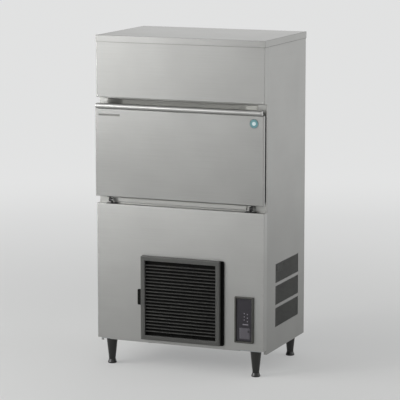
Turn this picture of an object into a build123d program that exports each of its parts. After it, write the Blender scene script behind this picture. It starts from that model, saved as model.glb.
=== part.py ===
from build123d import *
import math
import os

os.makedirs("parts", exist_ok=True)

# An upright ice cube machine with its storage bin behind a drop-down door.
# Millimetres. The origin is on the floor, midway between the sides and between front and rear.
# X points to the right of someone facing the machine, Y to the rear, Z up.

# Cabinet
leg_height = 90.0
cabinet_height = 1215.0
cabinet_depth = 460.0
panel_width = 701.0
sheet = 1.0
bend = 2.5
seat = 0.3
seam = 0.5
running = 0.05

# Top cover and side panels
cover_overhang = 1.5
cover_skirt = 25.0
side_setback = 32.0
side_fold = 12.0

# Front, from the bottom upwards
lower_panel_lift = 13.0
lower_panel_height = 543.0
hinge_gap = 30.0
door_height = 345.0
grip_height = 21.0
finger_gap = 22.0

# Door
door_stand_off = 10.0
door_return = 12.0
door_liner_wall = 2.0
door_plateau = 17.0
gasket_width = 16.0
gasket_inset = 5.0
grip_nose = 13.0
grip_wall = 2.0
grip_cap = 4.0
grip_short = 4.5
strip_length = 89.0
strip_width = 8.0
strip_margin = 15.0
strip_drop = 24.0
badge_radius = 18.0
badge_margin = 39.5
badge_drop = 30.0
hinge_spacing = 580.0
hinge_drop = 15.0
hinge_set_in = 8.0
hinge_pin_radius = 3.0
lug_radius = 7.0
lug_width = 4.0
barrel_width = 8.0
bracket_plate = 2.5

# Storage bin and its front frame
frame_set_in = 26.0
frame_plate = 1.2
opening_width = 580.0
opening_sill = 40.0
opening_head = 31.0
opening_corner = 5.0
plateau_corner = 15.0
pocket_width = 628.0
pocket_height = 30.0
pocket_depth = 18.0
band_length = 540.0
band_height = 21.0
band_proud = 5.0
service_lift = 21.3
bin_width = 610.0
bin_depth = 352.0
bin_front_wall = 33.0
bin_floor = 500.0
liner_wall = 2.5
liner_corner = 12.0
floor_insulation = 38.0
lid_insulation = 15.0

# Evaporator and the tilting water plate
cell_pitch = 30.0
cell_wall = 1.5
cell_depth = 28.0
cell_columns = 11
cell_rows = 8
plate_thickness = 2.0
evaporator_top = 70.0
tube_radius = 4.75
tube_sides = 10
tray_gap = 2.0
tray_thickness = 8.0
tray_tail = 30.0
tray_pin_radius = 4.0
tank_depth = 62.0
tank_wall = 2.5
rail_width = 4.0
bar_overrun = 20.0
cam_reach = 50.0
cam_lean = 100.0
cam_shaft_radius = 5.0

# Grille, filter and control panel on the lower front panel
grille_side = 332.0
grille_centre_x = 9.3
grille_low = 16.0
grille_border = 17.5
grille_depth = 12.0
slat_count = 23
slat_pitch = 12.6
slat_depth = 9.0
slat_thickness = 2.6
slat_tilt = 28.0
housing_depth = 8.0
housing_extra = 11.0
filter_thickness = 4.0
filter_travel = 335.0
tab_reach = 18.0
tab_height = 62.0
control_width = 80.0
control_height = 181.0
control_centre_x = 271.2
control_low = 34.0
control_border = 8.0
control_proud = 10.0
button_radius = 4.0

# Side and rear vents
vent_columns = 24
vent_pitch = 10.8
vent_slot = 8.8
vent_height = 74.5
vent_group_pitch = 87.0
vent_groups = 3
vent_low = 90.0
vent_centre_y = 26.0

# Legs
leg_inset_x = 45.5
leg_inset_y = 36.0
leg_top_radius = 22.0
leg_neck_radius = 13.5
foot_height = 20.0
foot_radius = 17.5
stem_radius = 8.0
stem_length = 42.0

# Machine compartment and rear connections
base_wall = 1.6
base_edge = 25.0
condenser_depth = 50.0
fan_radius = 112.0
root_chord = 34.0
tip_chord = 56.0
motor_shaft_radius = 4.0
rear_reach = 23.0
inlet_radius = 13.22
drain_radius = 11.0
drain_pipe_radius = 12.5

# Levels and planes that follow from the sizes above
cabinet_bottom = leg_height
cabinet_top = cabinet_bottom + cabinet_height
front_face = -cabinet_depth / 2
rear_face = cabinet_depth / 2
half_width = panel_width / 2
panel_inside = half_width - sheet
side_front = front_face + side_setback
side_rear = rear_face - sheet
lower_panel_low = cabinet_bottom + lower_panel_lift
lower_panel_high = lower_panel_low + lower_panel_height
door_low = lower_panel_high + hinge_gap
door_high = door_low + door_height
grip_top = door_high + grip_height
upper_panel_low = grip_top + finger_gap
upper_panel_high = cabinet_top - sheet - seam
door_face = front_face - door_stand_off
door_back = door_face + door_return
frame_front = front_face + frame_set_in
frame_back = frame_front + frame_plate
base_bottom = lower_panel_low + sheet + seat
base_floor = base_bottom + base_wall
leg_x = half_width - leg_inset_x
leg_y = rear_face - leg_inset_y


def finish(piece, name):
    """Label a finished piece and write its file."""
    piece.label = name
    export_step(piece, f"parts/{name}.step")


def front_pan(low, high, face, depth):
    """A folded sheet pan whose face looks forward and whose open side looks back."""
    with BuildPart() as pan:
        with BuildSketch(Plane.XZ.offset(-face)):
            with Locations((0, (low + high) / 2)):
                Rectangle(panel_width, high - low)
        extrude(amount=-depth)
        fillet(pan.faces().sort_by(Axis.Y)[0].edges(), bend)
        offset(amount=-sheet, openings=pan.faces().sort_by(Axis.Y)[-1])
    return pan.part


# Top cover: one sheet, folded down all round
with BuildPart() as top_cover:
    with BuildSketch(Plane.XY.offset(cabinet_top - cover_skirt)):
        RectangleRounded(panel_width + 2 * cover_overhang, cabinet_depth + 2 * cover_overhang, bend)
    extrude(amount=cover_skirt)
    fillet(top_cover.faces().sort_by(Axis.Z)[-1].edges(), 0.8 * bend)
    offset(amount=-sheet, openings=top_cover.faces().sort_by(Axis.Z)[0])
finish(top_cover.part, "top_cover")

# Side panels: folded inwards at the front and at the rear, the right one with vents
for side, name in ((1, "right_side_panel"), (-1, "left_side_panel")):
    with BuildPart() as side_panel:
        with BuildSketch(Plane.XY.offset(cabinet_bottom)):
            with BuildLine():
                FilletPolyline(
                    (side * (half_width - side_fold), side_front),
                    (side * half_width, side_front),
                    (side * half_width, side_rear),
                    (side * (half_width - side_fold), side_rear),
                    radius=bend,
                )
                offset(amount=sheet, side=Side.LEFT if side > 0 else Side.RIGHT)
            make_face()
        extrude(amount=upper_panel_high - cabinet_bottom)
        if side > 0:
            with BuildSketch(Plane.YZ.offset(half_width)):
                for group in range(vent_groups):
                    middle = cabinet_bottom + vent_low + vent_height / 2 + group * vent_group_pitch
                    with Locations((vent_centre_y, middle)):
                        with GridLocations(vent_pitch, vent_height, vent_columns, 1):
                            Rectangle(vent_slot, vent_height)
            extrude(amount=-sheet, mode=Mode.SUBTRACT)
    finish(side_panel.part, name)

# Upper front panel: a plain pan hooked under the cover's skirt
pan_depth = side_front - front_face - seat
upper_front_panel = front_pan(upper_panel_low, upper_panel_high, front_face, pan_depth)
finish(upper_front_panel, "upper_front_panel")

# Grille and control places on the lower front panel
grille_middle = lower_panel_low + grille_low + grille_side / 2
grille_opening = grille_side - 2 * grille_border
control_middle = lower_panel_low + control_low + control_height / 2
window_width = control_width - 2 * control_border
window_height = control_height - 2 * control_border
collar_wall = 1.5

# Lower front panel: with the air opening, the control cut-out and a relief at each lower corner
relief_height = 5.0
relief_left = 54.0
relief_right = 98.0
lower_pan = front_pan(lower_panel_low, lower_panel_high, front_face, pan_depth)
with BuildPart() as lower_front_panel:
    add(lower_pan)
    with BuildSketch(Plane.XZ.offset(-front_face)):
        with Locations((grille_centre_x, grille_middle)):
            RectangleRounded(grille_opening, grille_opening, bend)
        with Locations((control_centre_x, control_middle)):
            Rectangle(window_width + 2 * (collar_wall + seam), window_height + 2 * (collar_wall + seam))
    extrude(amount=-pan_depth / 2, mode=Mode.SUBTRACT)
    with BuildSketch(Plane.XZ.offset(-front_face)):
        with Locations((-half_width, lower_panel_low)):
            Rectangle(relief_left, relief_height, align=(Align.MIN, Align.MIN))
        with Locations((half_width, lower_panel_low)):
            Rectangle(relief_right, relief_height, align=(Align.MAX, Align.MIN))
    extrude(amount=-pan_depth, mode=Mode.SUBTRACT)
    with BuildSketch(Plane.XY.offset(lower_panel_low)):
        with Locations((-leg_x, -leg_y), (leg_x, -leg_y)):
            Circle(leg_top_radius + 1)
    extrude(amount=sheet, mode=Mode.SUBTRACT)
finish(lower_front_panel.part, "lower_front_panel")

# Rear panel with its air slots and the holes for water, drain and cable
inlet_x = 250.0
inlet_z = base_floor + 290.0
drain_z = bin_floor - floor_insulation - 24.0
gland_x = -280.0
gland_z = base_floor + 75.0
gland_radius = 10.0
rear_half = half_width - 1.5
with BuildPart() as rear_panel:
    with BuildSketch(Plane.XZ.offset(-rear_face)):
        with Locations((0, (base_bottom + upper_panel_high) / 2)):
            Rectangle(2 * rear_half, upper_panel_high - base_bottom)
    extrude(amount=sheet)
    with BuildSketch(Plane.XZ.offset(-rear_face)):
        with Locations((60, base_floor + 130)):
            with GridLocations(60, 16, 4, 9):
                Rectangle(46, 6)
        with Locations((inlet_x, inlet_z)):
            Circle(inlet_radius + seat)
        with Locations((0, drain_z)):
            Circle(drain_pipe_radius + seat)
        with Locations((gland_x, gland_z)):
            Circle(gland_radius + seat)
    extrude(amount=sheet, mode=Mode.SUBTRACT)
finish(rear_panel.part, "rear_panel")

# Front frame of the bin: a shallow pan with the bin opening, the finger pocket and a pressed band
opening_low = door_low + opening_sill
opening_high = door_high - opening_head
opening_height = opening_high - opening_low
pocket_middle = upper_panel_low - seat - 5.0 - pocket_height / 2
frame_low = lower_panel_high + seat
frame_high = upper_panel_low - seat
with BuildPart() as front_frame:
    with BuildSketch(Plane.XZ.offset(-frame_front)):
        with Locations((0, (frame_low + frame_high) / 2)):
            Rectangle(2 * panel_inside, frame_high - frame_low)
    extrude(amount=-(side_front - seat - frame_front))
    fillet(front_frame.edges().filter_by(Axis.Z).group_by(Axis.Y)[0], bend)
    offset(amount=-frame_plate, openings=front_frame.faces().sort_by(Axis.Y)[-1])
    with BuildSketch(Plane.XZ.offset(-frame_front)):
        with Locations((0, (opening_low + opening_high) / 2)):
            RectangleRounded(opening_width, opening_height, opening_corner)
        with Locations((0, pocket_middle)):
            Rectangle(pocket_width, pocket_height)
    extrude(amount=-frame_plate, mode=Mode.SUBTRACT)
    with BuildSketch(Plane.XZ.offset(-frame_front)):
        with Locations((0, lower_panel_high + hinge_gap / 2)):
            RectangleRounded(band_length, band_height, 0.3 * band_height)
    band = extrude(amount=band_proud)
    fillet(band.faces().sort_by(Axis.Y)[0].edges(), 0.7 * band_proud)
finish(front_frame.part, "front_frame")

# Finger pocket: a pressed tray behind the frame, narrower at its bottom
pocket_flare = 12.0
with BuildPart() as finger_pocket:
    with BuildSketch(Plane.XZ.offset(-frame_back)):
        with Locations((0, pocket_middle)):
            Rectangle(pocket_width, pocket_height)
    with BuildSketch(Plane.XZ.offset(-frame_back - pocket_depth)):
        with Locations((0, pocket_middle)):
            Rectangle(pocket_width - 2 * pocket_flare, pocket_height - 6)
    loft()
    offset(amount=-sheet, openings=finger_pocket.faces().sort_by(Axis.Y)[0])
finish(finger_pocket.part, "finger_pocket")

# Door skin: a shallow pan with soft side folds
door_skin = front_pan(door_low, door_high, door_face, door_return)
finish(door_skin, "door_skin")

# Door liner: a flange behind the skin and a drafted plateau towards the bin
gasket_low = door_low + gasket_inset
gasket_high = door_high - gasket_inset
gasket_half = half_width - gasket_inset
plateau_half = gasket_half - gasket_width - 4.0
plateau_low = gasket_low + gasket_width + 4.0
plateau_high = gasket_high - gasket_width - 4.0
plateau_draft = 8.0
with BuildPart() as door_liner:
    with BuildSketch(Plane.XZ.offset(-door_back)):
        with Locations((0, (door_low + door_high) / 2)):
            Rectangle(panel_width - seam, door_height - seam)
    extrude(amount=-door_liner_wall)
    with BuildSketch(Plane.XZ.offset(-door_back)):
        with Locations((0, (plateau_low + plateau_high) / 2)):
            RectangleRounded(2 * plateau_half, plateau_high - plateau_low, plateau_corner)
    extrude(amount=-door_plateau, taper=plateau_draft)
    with BuildSketch(Plane.XZ.offset(-door_back)):
        with Locations((0, (plateau_low + plateau_high) / 2)):
            RectangleRounded(
                2 * (plateau_half - door_liner_wall),
                plateau_high - plateau_low - 2 * door_liner_wall,
                plateau_corner - door_liner_wall,
            )
    extrude(amount=-(door_plateau - door_liner_wall), taper=plateau_draft, mode=Mode.SUBTRACT)
finish(door_liner.part, "door_liner")

# Door insulation: fills the skin and the hollow of the plateau
with BuildPart() as door_insulation:
    with BuildSketch(Plane.XZ.offset(-(door_face + sheet))):
        with Locations((0, (door_low + door_high) / 2)):
            Rectangle(panel_width - 2 * sheet - 2 * bend, door_height - 2 * sheet - 2 * bend)
    extrude(amount=-(door_return - sheet))
    with BuildSketch(Plane.XZ.offset(-door_back)):
        with Locations((0, (plateau_low + plateau_high) / 2)):
            RectangleRounded(
                2 * (plateau_half - door_liner_wall - seam),
                plateau_high - plateau_low - 2 * (door_liner_wall + seam),
                plateau_corner - door_liner_wall - seam,
            )
    extrude(amount=-(door_plateau - door_liner_wall - seam), taper=plateau_draft)
finish(door_insulation.part, "door_insulation")

# Door gasket: a soft ring between the liner's flange and the frame
gasket_back = frame_front - seat
gasket_front = door_back + door_liner_wall
with BuildPart() as door_gasket:
    with BuildSketch(Plane.XZ.offset(-gasket_front)):
        with Locations((0, (gasket_low + gasket_high) / 2)):
            RectangleRounded(2 * gasket_half, gasket_high - gasket_low, 6)
            Rectangle(
                2 * (gasket_half - gasket_width),
                gasket_high - gasket_low - 2 * gasket_width,
                mode=Mode.SUBTRACT,
            )
    extrude(amount=-(gasket_back - gasket_front))
    chamfer(door_gasket.faces().sort_by(Axis.Y)[-1].edges(), 4)
finish(door_gasket.part, "door_gasket")

# Door grip: a rolled section with a half-round nose, hooked at the back for the fingers
grip_radius = grip_height / 2
grip_centre_y = door_face - grip_nose + grip_radius
grip_half = half_width - grip_short - grip_cap
with BuildPart() as door_grip:
    with BuildSketch(Plane.YZ):
        with BuildLine():
            Line((door_back - seat, door_high), (grip_centre_y, door_high))
            ThreePointArc(
                (grip_centre_y, door_high),
                (grip_centre_y - grip_radius, door_high + grip_radius),
                (grip_centre_y, grip_top),
            )
            Line((grip_centre_y, grip_top), (door_face + 6, grip_top))
            Line((door_face + 6, grip_top), (door_face + 6, grip_top - 7))
            offset(amount=grip_wall, side=Side.LEFT)
        make_face()
    extrude(amount=grip_half, both=True)
finish(door_grip.part, "door_grip")

# Grip end caps: solid D shapes with a softened rim
with BuildPart() as grip_end_caps:
    for side in (-1, 1):
        with BuildSketch(Plane.YZ.offset(side * grip_half)):
            with BuildLine():
                Line((grip_centre_y, grip_top), (door_face + 6, grip_top))
                Line((door_face + 6, grip_top), (door_face + 6, door_high))
                Line((door_face + 6, door_high), (grip_centre_y, door_high))
                ThreePointArc(
                    (grip_centre_y, door_high),
                    (grip_centre_y - grip_radius, door_high + grip_radius),
                    (grip_centre_y, grip_top),
                )
            make_face()
        cap = extrude(amount=side * grip_cap)
        chamfer(cap.faces().sort_by(Axis.X)[-1 if side > 0 else 0].edges(), 0.4 * grip_cap)
finish(grip_end_caps.part, "grip_end_caps")

# Blank name strip and blank round badge on the door
with BuildPart() as name_strip:
    with BuildSketch(Plane.XZ.offset(-door_face)):
        with Locations((-half_width + strip_margin + strip_length / 2, door_high - strip_drop)):
            RectangleRounded(strip_length, strip_width, 1)
    extrude(amount=0.8)
finish(name_strip.part, "name_strip")
with BuildPart() as round_badge:
    with BuildSketch(Plane.XZ.offset(-door_face)):
        with Locations((half_width - badge_margin, door_high - badge_drop)):
            Circle(badge_radius)
    extrude(amount=1.6)
    chamfer(round_badge.faces().sort_by(Axis.Y)[0].edges(), 0.6)
finish(round_badge.part, "round_badge")

# Hinges: a cabinet bracket with a lug and a door bracket with a barrel on each side
hinge_y = frame_front - hinge_set_in - 10.0
hinge_z = door_low - hinge_drop
hinge_x = hinge_spacing / 2
plate_low = lower_panel_high
with BuildPart() as cabinet_hinges:
    for side in (-1, 1):
        with BuildSketch(Plane.XY.offset(plate_low)):
            with Locations((side * hinge_x, hinge_y + 5)):
                Rectangle(42, 24)
        extrude(amount=bracket_plate)
        with BuildSketch(Plane.YZ.offset(side * hinge_x)):
            with BuildLine():
                Line((hinge_y - lug_radius, hinge_z), (hinge_y - lug_radius, plate_low))
                Line((hinge_y - lug_radius, plate_low), (hinge_y + 12, plate_low))
                Line((hinge_y + 12, plate_low), (hinge_y + lug_radius, hinge_z))
                ThreePointArc(
                    (hinge_y + lug_radius, hinge_z),
                    (hinge_y, hinge_z + lug_radius),
                    (hinge_y - lug_radius, hinge_z),
                )
            make_face()
        extrude(amount=lug_width / 2, both=True)
        with Locations(Location((side * hinge_x, hinge_y, hinge_z), (0, 90, 0))):
            Hole(hinge_pin_radius + running, lug_width)
finish(cabinet_hinges.part, "cabinet_hinges")

barrel_start = lug_width / 2 + seam
with BuildPart() as door_hinges:
    for side in (-1, 1):
        with BuildSketch(Plane.XY.offset(door_low - bracket_plate)):
            with Locations((side * (hinge_x + barrel_start), hinge_y + 1)):
                Rectangle(26, 20)
        extrude(amount=bracket_plate)
        with BuildSketch(Plane.YZ.offset(side * (hinge_x + barrel_start))):
            with Locations((hinge_y, hinge_z)):
                Circle(lug_radius)
            with Locations((hinge_y, (hinge_z + door_low - bracket_plate) / 2)):
                Rectangle(lug_radius, door_low - bracket_plate - hinge_z)
            with Locations((hinge_y, hinge_z)):
                Circle(hinge_pin_radius + running, mode=Mode.SUBTRACT)
        extrude(amount=side * barrel_width)
finish(door_hinges.part, "door_hinges")

with BuildPart() as hinge_pins:
    for side in (-1, 1):
        with BuildSketch(Plane.YZ.offset(side * (hinge_x - lug_width / 2))):
            with Locations((hinge_y, hinge_z)):
                Circle(hinge_pin_radius)
        extrude(amount=side * (lug_width + seam + barrel_width + 1))
        with BuildSketch(Plane.YZ.offset(side * (hinge_x - lug_width / 2))):
            with Locations((hinge_y, hinge_z)):
                Circle(hinge_pin_radius + 2)
        extrude(amount=-side * 2)
finish(hinge_pins.part, "hinge_pins")

# Bin liner: a deep tub that is open at the top, with a throat to the door opening
liner_half = bin_width / 2 + liner_wall
liner_front = frame_back + bin_front_wall - liner_wall
liner_back = liner_front + bin_depth + 2 * liner_wall
liner_middle = (liner_front + liner_back) / 2
liner_bottom = bin_floor - liner_wall
liner_top = upper_panel_high - lid_insulation - seat
service_low = pocket_middle + pocket_height / 2 + service_lift
service_high = liner_top - 16.0
drain_y = liner_back - 35.0
pipe_x = inlet_x
pipe_y = liner_back + 20.0
pipe_radius = 5.0
pipe_exit_z = liner_top - 36.0
with BuildPart() as liner_form:
    with BuildSketch(Plane.XY.offset(liner_bottom)):
        with Locations((0, liner_middle)):
            RectangleRounded(2 * liner_half, liner_back - liner_front, liner_corner)
    extrude(amount=liner_top - liner_bottom)
    fillet(liner_form.faces().sort_by(Axis.Z)[0].edges(), 0.8 * liner_corner)
with BuildPart() as bin_liner:
    add(liner_form.part)
    offset(amount=-liner_wall, openings=bin_liner.faces().sort_by(Axis.Z)[-1])
    with BuildSketch(Plane.XZ.offset(-frame_back)):
        with Locations((0, (opening_low + opening_high) / 2)):
            RectangleRounded(
                opening_width + 2 * liner_wall, opening_height + 2 * liner_wall, opening_corner + liner_wall
            )
    extrude(amount=-(bin_front_wall - liner_wall))
    with BuildSketch(Plane.XZ.offset(-frame_back)):
        with Locations((0, (opening_low + opening_high) / 2)):
            RectangleRounded(opening_width, opening_height, opening_corner)
    extrude(amount=-(bin_front_wall + liner_wall), mode=Mode.SUBTRACT)
    with BuildSketch(Plane.XZ.offset(-frame_back)):
        with Locations((0, (service_low + service_high) / 2)):
            RectangleRounded(opening_width, service_high - service_low, opening_corner)
    extrude(amount=-(bin_front_wall + liner_wall), mode=Mode.SUBTRACT)
    with Locations((0, drain_y, bin_floor)):
        Hole(drain_pipe_radius + seat, 3 * liner_wall)
    with Locations(Location((pipe_x, liner_back, pipe_exit_z), (90, 0, 0))):
        Hole(pipe_radius + seat, 3 * liner_wall)
finish(bin_liner.part, "bin_liner")

# Service cover: an insulated plate over the opening of the ice-making chamber
service_thickness = 22.0
service_half = opening_width / 2 + 10.0
with BuildPart() as service_cover:
    with BuildSketch(Plane.XZ.offset(-liner_front)):
        with Locations((0, (service_low + service_high) / 2)):
            RectangleRounded(2 * service_half, service_high - service_low + 20, plateau_corner)
    extrude(amount=service_thickness)
    with BuildSketch(Plane.XZ.offset(-(liner_front - service_thickness))):
        with Locations((0, (service_low + service_high) / 2)):
            RectangleRounded(2 * service_half - 60, service_high - service_low - 40, plateau_corner)
    extrude(amount=-4, mode=Mode.SUBTRACT)
finish(service_cover.part, "service_cover")

# Cabinet insulation: one foamed body round the liner
insulation_bottom = bin_floor - floor_insulation
insulation_front = side_front + sheet + seam
insulation_back = side_rear - sheet - seam
with BuildPart() as cabinet_insulation:
    with BuildSketch(Plane.XY.offset(insulation_bottom)):
        with Locations((0, (insulation_front + insulation_back) / 2)):
            Rectangle(2 * (panel_inside - seam), insulation_back - insulation_front)
    extrude(amount=liner_top - insulation_bottom)
    with BuildSketch(Plane.XZ.offset(-frame_back)):
        with Locations((0, (frame_low + frame_high) / 2)):
            Rectangle(
                2 * (half_width - side_fold - 1.5), frame_high - frame_low - 2 * frame_plate - 2 * seam
            )
    extrude(amount=-(insulation_front - frame_back))
    add(liner_form.part, mode=Mode.SUBTRACT)
    with BuildSketch(Plane.XZ.offset(-frame_back)):
        with Locations((0, (opening_low + opening_high) / 2)):
            RectangleRounded(
                opening_width + 2 * liner_wall, opening_height + 2 * liner_wall, opening_corner + liner_wall
            )
    extrude(amount=-bin_front_wall, mode=Mode.SUBTRACT)
    with BuildSketch(Plane.XZ.offset(-frame_back)):
        with Locations((0, pocket_middle)):
            Rectangle(pocket_width, pocket_height)
    extrude(amount=-pocket_depth - seam, mode=Mode.SUBTRACT)
    with BuildSketch(Plane.XZ.offset(-insulation_front)):
        with Locations((0, service_low - 10 - seam)):
            Rectangle(
                2 * (service_half + seam), liner_top - service_low + 20, align=(Align.CENTER, Align.MIN)
            )
    extrude(amount=-(liner_front - insulation_front), mode=Mode.SUBTRACT)
    with BuildSketch(Plane.XY.offset(insulation_bottom)):
        with Locations((0, drain_y)):
            Circle(drain_pipe_radius + seat)
        with Locations((pipe_x, pipe_y)):
            Circle(pipe_radius + seat)
    extrude(amount=floor_insulation, mode=Mode.SUBTRACT)
    with BuildSketch(Plane.XY.offset(insulation_bottom)):
        with Locations((pipe_x, pipe_y)):
            Rectangle(2 * (pipe_radius + 4), 2 * (pipe_radius + 4))
    extrude(amount=pipe_exit_z + pipe_radius + 4 - insulation_bottom, mode=Mode.SUBTRACT)
    with BuildSketch(Plane.XZ.offset(-liner_back + 1)):
        with Locations((pipe_x, pipe_exit_z)):
            Circle(pipe_radius + seat)
    extrude(amount=-(pipe_y - liner_back + 1), mode=Mode.SUBTRACT)
finish(cabinet_insulation.part, "cabinet_insulation")

# Drain pipe: down from the bin's floor, round an elbow, and out to a hose spigot at the rear
drain_bore = drain_radius - 2.0
with BuildPart() as drain_pipe:
    with BuildLine() as drain_path:
        Polyline(
            (0, drain_y, bin_floor - seat),
            (0, drain_y, drain_z),
            (0, rear_face + 1, drain_z),
        )
    with BuildSketch(Plane.XY.offset(bin_floor - seat)):
        with Locations((0, drain_y)):
            Circle(drain_pipe_radius)
            Circle(drain_bore, mode=Mode.SUBTRACT)
    sweep(path=drain_path.line, transition=Transition.RIGHT)
    with BuildSketch(Plane.XZ.offset(-(rear_face + 1))):
        with Locations((0, drain_z)):
            Circle(drain_radius)
            Circle(drain_bore, mode=Mode.SUBTRACT)
    extrude(amount=-(rear_reach - 1))
finish(drain_pipe.part, "drain_pipe")

# Evaporator: a copper plate over a grid of cells that open downwards
evaporator_z = liner_top - evaporator_top
cells_length = cell_columns * cell_pitch + cell_wall
cells_depth = cell_rows * cell_pitch + cell_wall
evaporator_y = liner_middle
cells_low = evaporator_z - cell_depth
plate_half_x = cells_length / 2 + 10
plate_half_y = cells_depth / 2 + 10
with BuildPart() as evaporator:
    with BuildSketch(Plane.XY.offset(evaporator_z)):
        with Locations((0, evaporator_y)):
            Rectangle(2 * plate_half_x, 2 * plate_half_y)
    extrude(amount=plate_thickness)
    with BuildSketch(Plane.XY.offset(evaporator_z)):
        with Locations((0, evaporator_y)):
            Rectangle(cells_length, cells_depth)
    extrude(amount=-cell_depth)
    with BuildSketch(Plane.XY.offset(cells_low)):
        with Locations((0, evaporator_y)):
            with GridLocations(cell_pitch, cell_pitch, cell_columns, cell_rows):
                Rectangle(cell_pitch - cell_wall, cell_pitch - cell_wall)
    extrude(amount=cell_depth, taper=3, mode=Mode.SUBTRACT)
finish(evaporator.part, "evaporator")

# Evaporator tube: one run over each row of cells, joined by U bends, with two risers
tube_z = evaporator_z + plate_thickness + tube_radius + 0.1
run_half = cells_length / 2 - cell_pitch / 2
first_run = evaporator_y - (cell_rows - 1) / 2 * cell_pitch
with BuildPart() as evaporator_tube:
    with BuildLine() as tube_path:
        for row in range(cell_rows):
            heading = 1 if row % 2 == 0 else -1
            run_y = first_run + row * cell_pitch
            Line((-heading * run_half, run_y, tube_z), (heading * run_half, run_y, tube_z))
            if row < cell_rows - 1:
                ThreePointArc(
                    (heading * run_half, run_y, tube_z),
                    (heading * (run_half + cell_pitch / 2), run_y + cell_pitch / 2, tube_z),
                    (heading * run_half, run_y + cell_pitch, tube_z),
                )
    with BuildSketch(Plane((-run_half, first_run, tube_z), x_dir=(0, 1, 0), z_dir=(1, 0, 0))):
        RegularPolygon(tube_radius, tube_sides)
    sweep(path=tube_path.wire())
finish(evaporator_tube.part, "evaporator_tube")

# Unit bracket: two rails from wall to wall, cross plates and lugs for the tray's pivot
tray_top = cells_low - tray_gap
tray_low = tray_top - tray_thickness
tray_half_y = cells_depth / 2 + 2
pivot_x = -(cells_length / 2 + 24)
pivot_z = (tray_top + tray_low) / 2
rail_y = plate_half_y - rail_width / 2
rail_low = cells_low
shaft_x = cells_length / 2 + 38.7
shaft_z = evaporator_z - 8.0
with BuildPart() as unit_bracket:
    with BuildSketch(Plane.XY.offset(rail_low)):
        for across in (-rail_y, rail_y):
            with Locations((0, evaporator_y + across)):
                Rectangle(bin_width - 2 * seat, rail_width)
        for along in (-1, 1):
            with Locations((along * (plate_half_x - rail_width / 2), evaporator_y)):
                Rectangle(rail_width, 2 * rail_y)
    extrude(amount=evaporator_z - rail_low)
    for across in (-1, 1):
        with BuildSketch(Plane.XZ.offset(-(evaporator_y + across * rail_y - rail_width / 2))):
            with Locations((pivot_x, (rail_low + pivot_z) / 2)):
                Rectangle(26, rail_low - pivot_z)
            with Locations((pivot_x, pivot_z)):
                Circle(13)
        extrude(amount=-rail_width)
        hole_y = evaporator_y + across * rail_y
        with Locations(Location((pivot_x, hole_y, pivot_z), (90, 0, 0))):
            Hole(tray_pin_radius + running, rail_width)
        with Locations(Location((shaft_x, hole_y, shaft_z), (90, 0, 0))):
            Hole(cam_shaft_radius + running, rail_width)
finish(unit_bracket.part, "unit_bracket")

# Tray pivot pins, one in each rail
with BuildPart() as pivot_pins:
    for across in (-1, 1):
        pin_y = evaporator_y + across * (rail_y + rail_width / 2)
        with BuildSketch(Plane.XZ.offset(-pin_y)):
            with Locations((pivot_x, pivot_z)):
                Circle(tray_pin_radius)
        extrude(amount=across * (rail_width + 12))
        with BuildSketch(Plane.XZ.offset(-pin_y)):
            with Locations((pivot_x, pivot_z)):
                Circle(tray_pin_radius + 3)
        extrude(amount=-across * 2)
finish(pivot_pins.part, "pivot_pins")

# Water plate: a tilting tray with one spray slit below each cell, pivot lugs and an end bar
tray_left = pivot_x + 8
tray_right = cells_length / 2 + tray_tail
bar_x = shaft_x + cam_reach * math.cos(math.radians(cam_lean))
bar_radius = 4.0
bar_half = plate_half_y + bar_overrun
with BuildPart() as water_plate:
    with BuildSketch(Plane.XY.offset(tray_low)):
        with Locations(((tray_left + tray_right) / 2, evaporator_y)):
            Rectangle(tray_right - tray_left, 2 * tray_half_y)
        with Locations((0, evaporator_y)):
            with GridLocations(cell_pitch, cell_pitch, cell_columns, cell_rows):
                Rectangle(9, 2.5, mode=Mode.SUBTRACT)
    extrude(amount=tray_thickness)
    for across in (-1, 1):
        with BuildSketch(Plane.XZ.offset(-(evaporator_y + across * tray_half_y))):
            with Locations((pivot_x, pivot_z)):
                Circle(8)
            with Locations((pivot_x + 8, pivot_z)):
                Rectangle(16, tray_thickness)
            with Locations((pivot_x, pivot_z)):
                Circle(tray_pin_radius + running, mode=Mode.SUBTRACT)
        extrude(amount=across * 6)
    with BuildSketch(Plane.XZ.offset(-(evaporator_y - bar_half))):
        with Locations((bar_x, pivot_z)):
            Circle(bar_radius)
    extrude(amount=-2 * bar_half)
finish(water_plate.part, "water_plate")

# Water tank: a drafted tub hung under the water plate
tank_half_y = tray_half_y - 10
tank_left = -cells_length / 2 + 12
tank_right = cells_length / 2 - 4
with BuildPart() as water_tank:
    with BuildSketch(Plane.XY.offset(tray_low)):
        with Locations(((tank_left + tank_right) / 2, evaporator_y)):
            RectangleRounded(tank_right - tank_left, 2 * tank_half_y, 14)
    extrude(amount=-tank_depth, taper=5)
    chamfer(water_tank.faces().sort_by(Axis.Z)[0].edges(), tank_wall)
    with BuildSketch(Plane.XY.offset(tray_low)):
        with Locations(((tank_left + tank_right) / 2, evaporator_y)):
            RectangleRounded(tank_right - tank_left - 2 * tank_wall, 2 * (tank_half_y - tank_wall), 14 - tank_wall)
    extrude(amount=-(tank_depth - tank_wall), taper=5, mode=Mode.SUBTRACT)
finish(water_tank.part, "water_tank")

# Circulation pump beside the tank, and its hose to the water plate
pump_radius = 20.0
pump_x = 70.0
pump_y = evaporator_y - tank_half_y - 10 - pump_radius
pump_low = tray_low - tank_depth - 6
with BuildPart() as water_pump:
    with BuildSketch(Plane.XY.offset(pump_low)):
        with Locations((pump_x, pump_y)):
            Circle(pump_radius)
    extrude(amount=52)
    chamfer(water_pump.faces().sort_by(Axis.Z)[-1].edges(), 4)
    with BuildSketch(Plane.XY.offset(pump_low)):
        with Locations((pump_x, pump_y + 8)):
            Rectangle(20, 48, align=(Align.CENTER, Align.MIN))
    extrude(amount=tray_low - tank_depth - pump_low)
finish(water_pump.part, "water_pump")

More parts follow.
